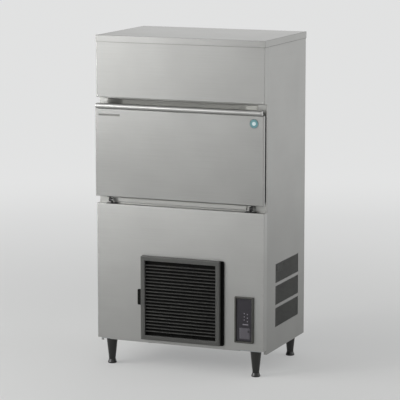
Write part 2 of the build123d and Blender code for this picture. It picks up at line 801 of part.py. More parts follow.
hose_radius = 5.0
hose_x = pump_x + pump_radius + 30
with BuildPart() as pump_hose:
    with BuildLine() as hose_path:
        FilletPolyline(
            (pump_x + pump_radius, pump_y, pump_low + 12),
            (hose_x, pump_y, pump_low + 12),
            (hose_x, pump_y, tray_low - 8),
            (hose_x, evaporator_y - tray_half_y + 4, tray_low - 8),
            radius=7,
        )
    with BuildSketch(Plane.YZ.offset(pump_x + pump_radius)):
        with Locations((pump_y, pump_low + 12)):
            RegularPolygon(hose_radius, tube_sides)
    sweep(path=hose_path.line)
finish(pump_hose.part, "pump_hose")

# Actuator motor: a geared motor on the cross plate with a through shaft
motor_left = plate_half_x + seat
motor_low = tray_top + 6
with BuildPart() as actuator_motor:
    with BuildSketch(Plane.XY.offset(motor_low)):
        with Locations((motor_left, evaporator_y)):
            Rectangle(58, 64, align=(Align.MIN, Align.CENTER))
    extrude(amount=42)
    fillet(actuator_motor.edges().filter_by(Axis.Z), 6)
    with BuildSketch(Plane.XY.offset(motor_low + 42)):
        with Locations((motor_left + 29, evaporator_y)):
            Circle(22)
    extrude(amount=20)
    with Locations(Location((shaft_x, evaporator_y, shaft_z), (90, 0, 0))):
        Hole(cam_shaft_radius + running, 40)
finish(actuator_motor.part, "actuator_motor")

# Cam arms: one on each end of the motor's shaft, each with a pin for its spring
arm_y = plate_half_y + 4
arm_width = 5.0
arm_end_x = bar_x
arm_end_z = shaft_z + cam_reach * math.sin(math.radians(cam_lean))
with BuildPart() as cam_arms:
    with BuildSketch(Plane.XZ.offset(-(evaporator_y - arm_y))):
        with Locations((shaft_x, shaft_z)):
            Circle(cam_shaft_radius)
    extrude(amount=-2 * arm_y)
    for across in (-1, 1):
        with BuildSketch(Plane.XZ.offset(-(evaporator_y + across * arm_y))):
            with Locations((shaft_x, shaft_z)):
                Circle(10)
            with Locations((arm_end_x, arm_end_z)):
                Circle(7)
            make_hull()
        extrude(amount=-across * arm_width)
        with BuildSketch(Plane.XZ.offset(-(evaporator_y + across * arm_y))):
            with Locations((arm_end_x, arm_end_z)):
                Circle(3)
        extrude(amount=-across * 16)
finish(cam_arms.part, "cam_arms")

# Tray springs: a coil on each side, from the tray's end bar up to the cam's pin
spring_y = arm_y + 11.0
spring_low = pivot_z + bar_radius + seat
spring_high = arm_end_z - 3 - seat
spring_radius = 4.5
spring_wire = 0.8
spring_turns = 7
with BuildPart() as tray_springs:
    for across in (-1, 1):
        place = (bar_x, evaporator_y + across * spring_y, spring_low + spring_wire)
        height = spring_high - spring_low - 2 * spring_wire
        with BuildLine(Plane(place)) as coil:
            Helix(pitch=height / spring_turns, height=height, radius=spring_radius)
        with BuildSketch(Plane(coil.line @ 0, z_dir=coil.line % 0)):
            RegularPolygon(spring_wire, 4)
        sweep(path=coil.line, is_frenet=True)
finish(tray_springs.part, "tray_springs")

# Ice level sensor: a bulb on a small plate at the bin's right wall
with BuildPart() as ice_level_sensor:
    with BuildSketch(Plane.YZ.offset(bin_width / 2 - seat)):
        with Locations((liner_front + 60, opening_high - 40)):
            RectangleRounded(50, 90, 6)
    extrude(amount=-3)
    with BuildSketch(Plane.XY.offset(opening_high - 80)):
        with Locations((bin_width / 2 - seat - 9, liner_front + 60)):
            Circle(6)
    extrude(amount=70)
finish(ice_level_sensor.part, "ice_level_sensor")

# Water inlet fitting, its valve, and the supply pipe up to the ice-making chamber
valve_back = side_rear - seat
valve_depth = 40.0
with BuildPart() as inlet_fitting:
    with BuildSketch(Plane.XZ.offset(-valve_back)):
        with Locations((inlet_x, inlet_z)):
            Circle(inlet_radius)
            Circle(8, mode=Mode.SUBTRACT)
    extrude(amount=-(rear_face + rear_reach - valve_back))
    chamfer(inlet_fitting.faces().sort_by(Axis.Y)[-1].edges().sort_by(SortBy.LENGTH)[-1], 1.5)
    with BuildSketch(Plane.XZ.offset(-(rear_face + seat))):
        with Locations((inlet_x, inlet_z)):
            RegularPolygon(19, 6)
            Circle(inlet_radius - 0.5, mode=Mode.SUBTRACT)
    extrude(amount=-6)
finish(inlet_fitting.part, "inlet_fitting")

with BuildPart() as water_valve:
    with BuildSketch(Plane.XZ.offset(-valve_back)):
        with Locations((inlet_x, inlet_z)):
            RectangleRounded(44, 40, 5)
    extrude(amount=valve_depth)
    with BuildSketch(Plane.XY.offset(inlet_z - 20)):
        with Locations((inlet_x, valve_back - valve_depth / 2)):
            Circle(15)
    extrude(amount=-38)
    chamfer(water_valve.faces().sort_by(Axis.Z)[0].edges(), 2)
finish(water_valve.part, "water_valve")

spout_y = evaporator_y + plate_half_y + 4
with BuildPart() as supply_pipe:
    with BuildLine() as supply_path:
        FilletPolyline(
            (pipe_x, pipe_y, inlet_z + 20),
            (pipe_x, pipe_y, pipe_exit_z),
            (pipe_x, spout_y, pipe_exit_z),
            radius=10,
        )
    with BuildSketch(Plane.XY.offset(inlet_z + 20)):
        with Locations((pipe_x, pipe_y)):
            Circle(pipe_radius)
            Circle(pipe_radius - 1, mode=Mode.SUBTRACT)
    sweep(path=supply_path.line)
finish(supply_pipe.part, "supply_pipe")

# Base pan: a tray with turned-up edges and a hole for each leg
base_half_x = panel_inside - 2
base_front = front_face + sheet + 3
base_back = side_rear - sheet - 2
base_step = side_front + sheet + seam
with BuildPart() as base_pan:
    with BuildSketch(Plane.XY.offset(base_bottom)):
        with Locations((0, base_back)):
            Rectangle(2 * base_half_x, base_back - base_step, align=(Align.CENTER, Align.MAX))
            Rectangle(
                2 * (half_width - side_fold - 2), base_back - base_front, align=(Align.CENTER, Align.MAX)
            )
    extrude(amount=base_edge)
    offset(amount=-base_wall, openings=base_pan.faces().sort_by(Axis.Z)[-1])
    with BuildSketch(Plane.XY.offset(base_bottom)):
        with GridLocations(2 * leg_x, 2 * leg_y, 2, 2):
            Circle(stem_radius + seat)
    extrude(amount=base_wall, mode=Mode.SUBTRACT)
finish(base_pan.part, "base_pan")

# Legs: turned cones with a threaded stud above and a bore for the foot below
bore_depth = stem_length + 6
with BuildPart() as legs:
    for x, y in ((-leg_x, -leg_y), (leg_x, -leg_y), (-leg_x, leg_y), (leg_x, leg_y)):
        with BuildSketch(Plane((x, y, 0), x_dir=(1, 0, 0), z_dir=(0, -1, 0))):
            with BuildLine():
                Polyline(
                    (stem_radius + running, foot_height + seat),
                    (leg_neck_radius - 1, foot_height + seat),
                    (leg_neck_radius, foot_height + seat + 1),
                    (leg_top_radius, base_bottom - 4),
                    (leg_top_radius, base_bottom),
                    (stem_radius, base_bottom),
                    (stem_radius, base_floor + 14),
                    (0, base_floor + 14),
                    (0, foot_height + seat + bore_depth),
                    (stem_radius + running, foot_height + seat + bore_depth),
                    close=True,
                )
            make_face()
        revolve(axis=Axis((x, y, 0), (0, 0, 1)))
finish(legs.part, "legs")

# Leg nuts above the base pan
with BuildPart() as leg_nuts:
    with BuildSketch(Plane.XY.offset(base_floor)):
        with GridLocations(2 * leg_x, 2 * leg_y, 2, 2):
            RegularPolygon(13.8, 6)
            Circle(stem_radius + running, mode=Mode.SUBTRACT)
    extrude(amount=10)
finish(leg_nuts.part, "leg_nuts")

# Adjustable feet: a flared foot on a stem that screws into the leg
for name, x, y in (
    ("front_left_foot", -1, -1),
    ("front_right_foot", 1, -1),
    ("rear_left_foot", -1, 1),
    ("rear_right_foot", 1, 1),
):
    with BuildPart() as foot:
        with BuildSketch(Plane((x * leg_x, y * leg_y, 0), x_dir=(1, 0, 0), z_dir=(0, -1, 0))):
            with BuildLine():
                Polyline(
                    (0, 0),
                    (foot_radius - 1.5, 0),
                    (foot_radius, 1.5),
                    (foot_radius, 5),
                    (leg_neck_radius, foot_height - 5),
                    (leg_neck_radius, foot_height),
                    (stem_radius, foot_height),
                    (stem_radius, foot_height + stem_length),
                    (0, foot_height + stem_length),
                    close=True,
                )
            make_face()
        revolve(axis=Axis((x * leg_x, y * leg_y, 0), (0, 0, 1)))
    finish(foot.part, name)

# Grille frame: a moulded square frame with slats that slope down towards the front
grille_back = front_face - housing_depth
grille_front = grille_back - grille_depth
with BuildPart() as grille_frame:
    with BuildSketch(Plane.XZ.offset(-grille_back)):
        with Locations((grille_centre_x, grille_middle)):
            RectangleRounded(grille_side, grille_side, 4)
    extrude(amount=grille_depth)
    chamfer(grille_frame.faces().sort_by(Axis.Y)[0].edges(), 1.5)
    with BuildSketch(Plane.XZ.offset(-grille_back)):
        with Locations((grille_centre_x, grille_middle)):
            Rectangle(grille_opening, grille_opening)
    extrude(amount=grille_depth, mode=Mode.SUBTRACT)
    slat_middle_y = (grille_front + grille_back) / 2
    with BuildSketch(Plane.YZ.offset(grille_centre_x)):
        with Locations((slat_middle_y, grille_middle)):
            with GridLocations(slat_depth, slat_pitch, 1, slat_count):
                Rectangle(slat_depth, slat_thickness, rotation=slat_tilt)
    extrude(amount=grille_opening / 2 + 1, both=True)
finish(grille_frame.part, "grille_frame")

# Filter housing: a channel on the panel, closed above, below and at the right, open at the left
channel_low = grille_middle - grille_side / 2 + 3
channel_high = grille_middle + grille_side / 2 - 3
housing_left = grille_centre_x - grille_side / 2
housing_right = grille_centre_x + grille_side / 2 + housing_extra
filter_gap = 0.6
with BuildPart() as filter_housing:
    with BuildSketch(Plane.XZ.offset(-front_face)):
        with BuildLine():
            FilletPolyline(
                (housing_left, grille_middle - grille_side / 2 - 1),
                (housing_right, grille_middle - grille_side / 2 - 1),
                (housing_right, grille_middle + grille_side / 2 - 1),
                (housing_left, grille_middle + grille_side / 2 - 1),
                radius=5,
            )
            Line(
                (housing_left, grille_middle + grille_side / 2 - 1),
                (housing_left, grille_middle - grille_side / 2 - 1),
            )
        make_face()
    extrude(amount=housing_depth)
    with BuildSketch(Plane.XZ.offset(-(grille_back + 1.2))):
        with Locations((housing_left, grille_middle)):
            Rectangle(
                grille_side - 8, channel_high - channel_low, align=(Align.MIN, Align.CENTER)
            )
    extrude(amount=-(filter_thickness + 2 * filter_gap), mode=Mode.SUBTRACT)
    with BuildSketch(Plane.XZ.offset(-front_face)):
        with Locations((grille_centre_x, grille_middle)):
            RectangleRounded(grille_opening, grille_opening, bend)
    extrude(amount=housing_depth, mode=Mode.SUBTRACT)
finish(filter_housing.part, "filter_housing")

# Air filter: a thin frame with ribs and mesh, and a pull tab at its left end
filter_front = grille_back + 1.2 + filter_gap
filter_left = housing_left + 1
filter_right = housing_left + grille_side - 8 - filter_gap
filter_half_height = (channel_high - channel_low) / 2 - filter_gap
filter_middle_x = (filter_left + filter_right) / 2
with BuildPart() as air_filter:
    with BuildSketch(Plane.XZ.offset(-filter_front)):
        with Locations((filter_middle_x, grille_middle)):
            Rectangle(filter_right - filter_left, 2 * filter_half_height)
            with GridLocations(98, 98, 3, 3):
                Rectangle(94, 94, mode=Mode.SUBTRACT)
    extrude(amount=-filter_thickness)
    with BuildSketch(Plane.XZ.offset(-(filter_front + filter_thickness / 2))):
        with Locations((filter_middle_x, grille_middle)):
            Rectangle(filter_right - filter_left - 4, 2 * filter_half_height - 4)
    extrude(amount=-0.6)
    with BuildSketch(Plane.XZ.offset(-(filter_front - 1))):
        with Locations((housing_left - seat, grille_middle)):
            RectangleRounded(tab_reach, tab_height, 4, align=(Align.MAX, Align.CENTER))
    extrude(amount=-(filter_thickness + 1))
    with BuildSketch(Plane.XZ.offset(-filter_front)):
        with Locations((housing_left - 3, grille_middle)):
            Rectangle(6, tab_height - 16, align=(Align.MIN, Align.CENTER))
    extrude(amount=-filter_thickness)
finish(air_filter.part, "air_filter")

# Control bezel: a moulded surround that plugs into the panel's cut-out
with BuildPart() as control_bezel:
    with BuildSketch(Plane.XZ.offset(-front_face)):
        with Locations((control_centre_x, control_middle)):
            RectangleRounded(control_width, control_height, 3)
    extrude(amount=control_proud)
    chamfer(control_bezel.faces().sort_by(Axis.Y)[0].edges(), 1.5)
    with BuildSketch(Plane.XZ.offset(-front_face)):
        with Locations((control_centre_x, control_middle)):
            Rectangle(window_width + 2 * collar_wall, window_height + 2 * collar_wall)
    extrude(amount=-8)
    with BuildSketch(Plane.XZ.offset(-(front_face - control_proud))):
        with Locations((control_centre_x, control_middle)):
            Rectangle(window_width, window_height)
    extrude(amount=-(control_proud + 8), mode=Mode.SUBTRACT)
finish(control_bezel.part, "control_bezel")

# Control plate: a smoked plate behind the window, with a hole for the button
button_x = control_centre_x + 17.4
button_z = control_middle - 44.7
plate_front = front_face - 3
control_plate_thickness = 2.0
with BuildPart() as control_plate:
    with BuildSketch(Plane.XZ.offset(-plate_front)):
        with Locations((control_centre_x, control_middle)):
            Rectangle(window_width - 2 * seat, window_height - 2 * seat)
        with Locations((button_x, button_z)):
            Circle(button_radius + 0.1, mode=Mode.SUBTRACT)
    extrude(amount=-control_plate_thickness)
finish(control_plate.part, "control_plate")

# Indicator lenses: two columns of three low domes and one level bar
with BuildPart() as indicator_lenses:
    with BuildSketch(Plane.XZ.offset(-plate_front)):
        with Locations((control_centre_x, control_middle + 13)):
            with GridLocations(12.8, 12.4, 1, 3):
                Circle(2.2)
        with Locations((control_centre_x + 12.8, control_middle + 9)):
            with GridLocations(12.8, 14, 1, 3):
                Circle(2.0)
        with Locations((control_centre_x + 5, control_middle - 17.4)):
            Rectangle(23, 4)
    extrude(amount=0.8)
finish(indicator_lenses.part, "indicator_lenses")

# Reset button, guided by the plate
with BuildPart() as reset_button:
    with BuildSketch(Plane.XZ.offset(-(plate_front - 3))):
        with Locations((button_x, button_z)):
            Circle(button_radius)
    extrude(amount=-7)
    chamfer(reset_button.faces().sort_by(Axis.Y)[0].edges(), 0.6)
    with BuildSketch(Plane.XZ.offset(-(plate_front + control_plate_thickness + seat))):
        with Locations((button_x, button_z)):
            Circle(button_radius + 1.5)
    extrude(amount=-1)
finish(reset_button.part, "reset_button")

# Control box: a sheet metal box behind the bezel
box_left = control_centre_x - control_width / 2 - 22
box_right = half_width - side_fold - 2
box_front = front_face + 14
box_depth = 90.0
box_low = base_bottom + base_edge
with BuildPart() as control_box:
    with BuildSketch(Plane.XZ.offset(-box_front)):
        with Locations((box_left, box_low)):
            Rectangle(box_right - box_left, control_height + 40, align=(Align.MIN, Align.MIN))
    extrude(amount=-box_depth)
    offset(amount=-sheet, openings=control_box.faces().sort_by(Axis.Y)[0])
finish(control_box.part, "control_box")
# Condenser: a finned core between two end plates
core_half = grille_opening / 2 - 2
core_front = front_face + 42
with BuildPart() as condenser:
    with BuildSketch(Plane.XZ.offset(-core_front)):
        with Locations((grille_centre_x, base_floor)):
            Rectangle(2 * core_half + 24, grille_middle + core_half - base_floor, align=(Align.CENTER, Align.MIN))
    extrude(amount=-condenser_depth)
    with BuildSketch(Plane.XZ.offset(-core_front)):
        with Locations((grille_centre_x, grille_middle)):
            with GridLocations(8, 0, 36, 1):
                Rectangle(4, 2 * core_half - 12)
    extrude(amount=-6, mode=Mode.SUBTRACT)
finish(condenser.part, "condenser")

# Fan shroud: a moulded box against the condenser with a round collar and three motor arms
shroud_front = core_front + condenser_depth + seat
shroud_depth = 30.0
shroud_wall = 2.0
collar_radius = fan_radius + 8
collar_depth = 20.0
arm_y_start = shroud_front + shroud_depth + collar_depth - shroud_wall
arm_depth = 6.0
ring_radius = 30.0
with BuildPart() as fan_shroud:
    with BuildSketch(Plane.XZ.offset(-shroud_front)):
        with Locations((grille_centre_x, base_floor)):
            Rectangle(2 * core_half, grille_middle + core_half - base_floor, align=(Align.CENTER, Align.MIN))
    extrude(amount=-shroud_depth)
    offset(amount=-shroud_wall, openings=fan_shroud.faces().sort_by(Axis.Y)[0])
    with BuildSketch(Plane.XZ.offset(-(shroud_front + shroud_depth - shroud_wall))):
        with Locations((grille_centre_x, grille_middle)):
            Circle(collar_radius + shroud_wall)
    extrude(amount=-collar_depth)
    with BuildSketch(Plane.XZ.offset(-(shroud_front + shroud_depth - shroud_wall))):
        with Locations((grille_centre_x, grille_middle)):
            Circle(collar_radius)
    extrude(amount=-collar_depth, mode=Mode.SUBTRACT)
    with BuildSketch(Plane.XZ.offset(-(arm_y_start - arm_depth))):
        with Locations((grille_centre_x, grille_middle)):
            Circle(ring_radius)
            with PolarLocations((ring_radius + collar_radius) / 2 - 1, 3, 90):
                Rectangle(collar_radius - ring_radius + 6, 12)
            Circle(motor_shaft_radius + 6, mode=Mode.SUBTRACT)
    extrude(amount=-arm_depth)
finish(fan_shroud.part, "fan_shroud")

# Fan: a hub with five pitched blades
fan_front = shroud_front + shroud_depth - 22
hub_depth = 24.0
hub_radius = 24.0
with BuildPart() as fan:
    with BuildSketch(Plane.XZ.offset(-fan_front)):
        with Locations((grille_centre_x, grille_middle)):
            Circle(hub_radius)
    extrude(amount=-hub_depth)
    for blade in range(5):
        turn = blade * 72.0
        across = Vector(math.cos(math.radians(turn)), 0, math.sin(math.radians(turn)))
        root = Vector(grille_centre_x, fan_front + hub_depth / 2, grille_middle) + across * (hub_radius - 4)
        around = Vector(-math.sin(math.radians(turn)), 0, math.cos(math.radians(turn)))
        pitch_angle = math.radians(24)
        chord = around * math.cos(pitch_angle) + Vector(0, 1, 0) * math.sin(pitch_angle)
        with BuildSketch(Plane(root, x_dir=chord, z_dir=across)):
            Rectangle(root_chord, 2)
        with BuildSketch(Plane(root + across * (fan_radius - hub_radius + 3), x_dir=chord, z_dir=across)):
            Rectangle(tip_chord, 1.6)
        loft()
    with Locations(Location((grille_centre_x, fan_front + hub_depth / 2, grille_middle), (90, 0, 0))):
        Hole(motor_shaft_radius + running, hub_depth)
finish(fan.part, "fan")

# Fan motor: a can behind the shroud's arms, its shaft reaching through the hub
with BuildPart() as fan_motor:
    with BuildSketch(Plane.XZ.offset(-arm_y_start)):
        with Locations((grille_centre_x, grille_middle)):
            Circle(ring_radius + 8)
    extrude(amount=-62)
    chamfer(fan_motor.faces().sort_by(Axis.Y)[-1].edges(), 6)
    with BuildSketch(Plane.XZ.offset(-(fan_front - 3))):
        with Locations((grille_centre_x, grille_middle)):
            Circle(motor_shaft_radius)
    extrude(amount=-(arm_y_start + 1 - fan_front + 3))
finish(fan_motor.part, "fan_motor")

# Compressor: a sealed domed can on a foot plate
compressor_x = -(half_width - 138.5)
compressor_y = rear_face - 140.0
can_radius = 72.0
can_foot_width = 136.0
can_foot_length = 170.0
can_low = base_floor + 3
can_height = 190.0
with BuildPart() as compressor:
    with BuildSketch(Plane((compressor_x, compressor_y, 0), x_dir=(1, 0, 0), z_dir=(0, -1, 0))):
        with BuildLine():
            Polyline(
                (0, can_low),
                (can_radius - 10, can_low),
                (can_radius, can_low + 12),
                (can_radius, can_low + can_height / 2 - 6),
                (can_radius + 4, can_low + can_height / 2 - 4),
                (can_radius + 4, can_low + can_height / 2 + 4),
                (can_radius, can_low + can_height / 2 + 6),
                (can_radius, can_low + can_height - 42),
                (can_radius - 14, can_low + can_height - 16),
                (can_radius - 42, can_low + can_height),
                (0, can_low + can_height),
                close=True,
            )
        make_face()
    revolve(axis=Axis((compressor_x, compressor_y, 0), (0, 0, 1)))
    with BuildSketch(Plane.XY.offset(can_low - 3)):
        with Locations((compressor_x, compressor_y)):
            RectangleRounded(can_foot_width, can_foot_length, 12)
    extrude(amount=4)
finish(compressor.part, "compressor")
# Cable gland at the rear: the inlet for the supply cable
with BuildPart() as cable_gland:
    with BuildSketch(Plane.XZ.offset(-(rear_face + seat))):
        with Locations((gland_x, gland_z)):
            RegularPolygon(15, 6)
    extrude(amount=-7)
    with BuildSketch(Plane.XZ.offset(-(side_rear - 6))):
        with Locations((gland_x, gland_z)):
            Circle(gland_radius)
    extrude(amount=-(rear_face + 20 - side_rear + 6))
    chamfer(cable_gland.faces().sort_by(Axis.Y)[-1].edges(), 2)
    with Locations(Location((gland_x, rear_face, gland_z), (90, 0, 0))):
        Hole(4.5, 60)
finish(cable_gland.part, "cable_gland")

# Screws: two on the upper front panel's lower corners, the others on the rear panel
screw_pitch = (cabinet_top - cover_skirt - base_bottom - 40) / 3
with BuildPart() as panel_screws:
    with BuildSketch(Plane.XZ.offset(-front_face)):
        with Locations((0, upper_panel_low + 6)):
            with GridLocations(2 * (half_width - 7), 1, 2, 1):
                Circle(2.5)
    extrude(amount=0.8)
    with BuildSketch(Plane.XZ.offset(-rear_face)):
        with Locations((0, (base_bottom + cabinet_top - cover_skirt) / 2)):
            with GridLocations(2 * (rear_half - 8), screw_pitch, 2, 4):
                Circle(4.5)
    extrude(amount=-2.4)
finish(panel_screws.part, "panel_screws")
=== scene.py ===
# %% [markdown]
# # An upright ice cube machine, dressed for its picture
#
# The frame holds every solid of the machine at its real size. This lesson gives each of them a
# procedural material, and replaces the small pieces whose charm is in soft edges, threads, domes
# and coils by surfaces that are worked out with numpy. A new piece takes its place from the box of
# the solid that it stands for. Lengths in the cells are in millimetres until they enter a mesh,
# which is in metres.

import math

import bpy
import numpy as np
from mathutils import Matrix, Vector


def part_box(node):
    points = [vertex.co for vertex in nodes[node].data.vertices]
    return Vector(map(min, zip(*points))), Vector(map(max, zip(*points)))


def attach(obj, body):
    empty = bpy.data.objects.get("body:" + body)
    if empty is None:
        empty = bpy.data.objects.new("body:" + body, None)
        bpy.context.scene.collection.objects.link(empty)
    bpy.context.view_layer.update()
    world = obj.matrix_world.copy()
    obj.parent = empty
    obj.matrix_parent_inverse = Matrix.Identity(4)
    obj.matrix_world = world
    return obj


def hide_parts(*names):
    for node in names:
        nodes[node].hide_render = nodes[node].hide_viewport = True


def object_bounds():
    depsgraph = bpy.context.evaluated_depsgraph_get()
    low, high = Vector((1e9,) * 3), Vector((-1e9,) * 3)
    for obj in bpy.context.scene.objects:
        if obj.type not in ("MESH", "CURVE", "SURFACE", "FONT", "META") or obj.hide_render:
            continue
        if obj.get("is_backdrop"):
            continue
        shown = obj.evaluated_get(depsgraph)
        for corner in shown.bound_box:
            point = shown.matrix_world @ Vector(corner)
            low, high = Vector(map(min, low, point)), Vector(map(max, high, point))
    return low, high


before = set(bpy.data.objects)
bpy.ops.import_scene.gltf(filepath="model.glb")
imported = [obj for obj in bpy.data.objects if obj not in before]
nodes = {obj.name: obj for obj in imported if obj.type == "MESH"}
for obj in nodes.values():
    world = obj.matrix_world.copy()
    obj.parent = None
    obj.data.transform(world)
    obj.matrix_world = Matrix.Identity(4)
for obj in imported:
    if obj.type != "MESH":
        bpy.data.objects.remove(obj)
cad_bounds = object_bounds()
MM = 0.001


def box_mm(name):
    """A solid's lowest corner, its middle and its highest corner in millimetres, to a hundredth."""
    low, high = (np.array(corner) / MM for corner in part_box(name))
    return np.round([low, (low + high) / 2, high], 2)


print("solids in the frame:", len(nodes))
print("the cover's corners in mm:", box_mm("top_cover")[[0, 2]].tolist())

# %% [markdown]
# ## The camera
#
# A tall cabinet that was photographed from far away with a long lens keeps its verticals almost
# parallel. The camera could be placed by eye, but a place worked out from the corners of the
# cabinet agrees with the picture everywhere: it stands to the right of the front, a little above
# the middle, and looks slightly down.

# %% Camera
IMAGE_WIDTH, FOCAL_PIXELS, SENSOR_WIDTH = 400, 2195.5, 36.0
CAMERA_YAW, CAMERA_PITCH = 22.27, 9.276
CAMERA_DISTANCE, SIGHT_LIMIT = 8.693, 100.0
CAMERA_TARGET = np.array([-0.0081, 0.0, 0.6432])

yaw, pitch = math.radians(CAMERA_YAW), math.radians(CAMERA_PITCH)
back = np.array([math.sin(yaw) * math.cos(pitch), -math.cos(yaw) * math.cos(pitch), math.sin(pitch)])
camera_data = bpy.data.cameras.new("camera")
camera_data.sensor_width = SENSOR_WIDTH
camera_data.lens = SENSOR_WIDTH * FOCAL_PIXELS / IMAGE_WIDTH
camera_data.clip_end = SIGHT_LIMIT
camera = bpy.data.objects.new("camera", camera_data)
camera.location = CAMERA_TARGET + back * CAMERA_DISTANCE
camera.rotation_euler = (math.pi / 2 - pitch, 0.0, yaw)
bpy.context.scene.collection.objects.link(camera)
bpy.context.scene.camera = camera
print("lens in mm:", round(camera_data.lens, 1))

# %% [markdown]
# ## Colours and nodes
#
# Colours are written as they look on a screen, as hex values, and one function turns them into
# the linear numbers that the shaders mix. One other function adds a node, sets it and links it.
# The last two hold what all the materials here share: how each one starts, and how a pattern
# drives its colour and its roughness.

# %% Colour and node helpers
NOISE_LOW, NOISE_HIGH = 0.25, 0.75


def linear(hex_colour):
    """sRGB to linear: c / 12.92 near black, and ((c + 0.055) / 1.055) ** 2.4 above it."""
    srgb = np.array([int(hex_colour[i : i + 2], 16) for i in (1, 3, 5)]) / 255.0
    low, high = srgb / 12.92, ((srgb + 0.055) / 1.055) ** 2.4
    return (*np.where(srgb <= 0.04045, low, high).tolist(), 1.0)


def add_node(tree, kind, inputs=None, **settings):
    """Adds a node of this kind. Each input is a value, or the output of another node to link."""
    new = tree.nodes.new(kind)
    for name, value in settings.items():
        setattr(new, name, value)
    for name, value in (inputs or {}).items():
        if isinstance(value, bpy.types.NodeSocket):
            tree.links.new(value, new.inputs[name])
        else:
            new.inputs[name].default_value = value
    return new


def start_material(name, **shader_values):
    """An empty material with one Principled shader, and the object's own coordinates."""
    material = bpy.data.materials.new(name)
    material.use_nodes = True
    tree = material.node_tree
    tree.nodes.clear()
    shader = add_node(tree, "ShaderNodeBsdfPrincipled", shader_values)
    add_node(tree, "ShaderNodeOutputMaterial", {"Surface": shader.outputs["BSDF"]})
    place = add_node(tree, "ShaderNodeTexCoord").outputs["Object"]
    return material, tree, shader, place


def vary(tree, shader, tone, colours, wear, roughness):
    """Drives the colour from the first to the second by tone, and the roughness likewise by wear.
    Both patterns count from 0.25 to 0.75, because most of a noise lies between these."""
    ramp = add_node(tree, "ShaderNodeValToRGB", {"Fac": tone})
    for stop, position, colour in zip(ramp.color_ramp.elements, (NOISE_LOW, NOISE_HIGH), colours):
        stop.position, stop.color = position, linear(colour)
    span = {"Value": wear, "From Min": NOISE_LOW, "From Max": NOISE_HIGH}
    span |= {"To Min": roughness[0], "To Max": roughness[1]}
    polish = add_node(tree, "ShaderNodeMapRange", span)
    tree.links.new(ramp.outputs["Color"], shader.inputs["Base Color"])
    tree.links.new(polish.outputs["Result"], shader.inputs["Roughness"])


print("half of full brightness on a screen, as linear light:", round(linear("#808080")[0], 3))

# %% [markdown]
# ## Brushed stainless steel
#
# The cabinet is folded from stainless sheet whose face was ground with a belt. The grit leaves
# thin lines that all run level, so the sheet looks silky and carries broad, soft reflections.
# It could be an image, but a noise that is squeezed hard in one direction gives the same lines
# at any distance. Real lines are about 0.2 mm apart, too fine for the picture, so they are drawn
# 2 to 4 mm apart, and a second, much larger noise adds the slow cloudiness of rolled sheet.
# A folded panel is never quite flat, and its bow is what makes it fade from light to dark on its
# own. So a second bump bows the sheet, a few times deeper than a real one, for it to show.

# %% Brushed steel
CLOUD_MM = 180.0
GRAIN_STRENGTH, GRAIN_SPREAD = 0.06, 0.05
SHEET_GREY = ("#91918f", "#9d9d9b")


def brushed_steel(
    name,
    dark,
    light,
    roughness=0.42,
    line_mm=2.0,
    along_mm=220.0,
    fine_axis=2,
    lift_mm=0.012,
    crown=0.0,
    bow=0.0,
):
    """Ground sheet: noise that is fine across the lines and long beside them. A bowed sheet also
    drops away from its crown by bow (z - crown)^2, with all of these in metres."""
    material, tree, shader, place = start_material(name, Metallic=1.0)
    scale = [1000.0 / along_mm] * 3
    scale[fine_axis] = 1000.0 / line_mm
    lines = add_node(tree, "ShaderNodeMapping", {"Vector": place, "Scale": scale}).outputs["Vector"]
    fine = {"Vector": lines, "Scale": 1.0, "Detail": 3.0}
    grain = add_node(tree, "ShaderNodeTexNoise", fine).outputs["Fac"]
    slow = {"Vector": place, "Scale": 1000.0 / CLOUD_MM, "Detail": 2.0}
    cloud = add_node(tree, "ShaderNodeTexNoise", slow).outputs["Fac"]
    both = add_node(tree, "ShaderNodeMath", {0: grain, 1: cloud}, operation="ADD").outputs[0]
    mean = add_node(tree, "ShaderNodeMath", {0: both, 1: 0.5}, operation="MULTIPLY").outputs[0]
    vary(tree, shader, mean, (dark, light), grain, (roughness - GRAIN_SPREAD, roughness + GRAIN_SPREAD))
    low_relief = {"Height": grain, "Strength": GRAIN_STRENGTH, "Distance": lift_mm * MM}
    bump = add_node(tree, "ShaderNodeBump", low_relief)
    tree.links.new(bump.outputs["Normal"], shader.inputs["Normal"])
    if bow:
        height = add_node(tree, "ShaderNodeSeparateXYZ", {"Vector": place}).outputs["Z"]
        above = add_node(tree, "ShaderNodeMath", {0: height, 1: crown}, operation="SUBTRACT").outputs[0]
        square = add_node(tree, "ShaderNodeMath", {0: above, 1: above}, operation="MULTIPLY").outputs[0]
        drop = add_node(tree, "ShaderNodeMath", {0: square, 1: -1.0}, operation="MULTIPLY").outputs[0]
        sheet = add_node(tree, "ShaderNodeBump", {"Height": drop, "Strength": 1.0, "Distance": bow})
        tree.links.new(sheet.outputs["Normal"], bump.inputs["Normal"])
    return material


steel_panel = brushed_steel("stainless_steel_brushed_level", *SHEET_GREY)
steel_door = brushed_steel("stainless_steel_brushed_door", *SHEET_GREY, crown=0.87, bow=0.06)
# The lower panel's steel is lighter than the other sheets, which paints the light that falls on it.
steel_lower_painted_light = brushed_steel(
    "stainless_steel_lower_panel_painted_light", "#9b9b99", "#a7a7a5", crown=0.22, bow=0.065
)
steel_cover = brushed_steel("stainless_steel_brushed_cover", *SHEET_GREY, fine_axis=1)
steel_inner = brushed_steel("stainless_steel_satin_frame", "#a3a3a0", "#afafac", 0.38, line_mm=3.0)
# The pocket's steel is darker than the sheet's, which paints the shade inside the recess.
steel_pocket_painted_shade = brushed_steel("stainless_steel_pocket_painted_shade", "#7e7e7a", "#888884", 0.44, line_mm=3.0)
steel_satin = brushed_steel(
    "stainless_steel_satin_grip", "#a0a09e", "#aaaaa8", 0.38, line_mm=4.0, along_mm=500.0, lift_mm=0.004
)
print("steels:", sum(material.name.startswith("stainless") for material in bpy.data.materials))

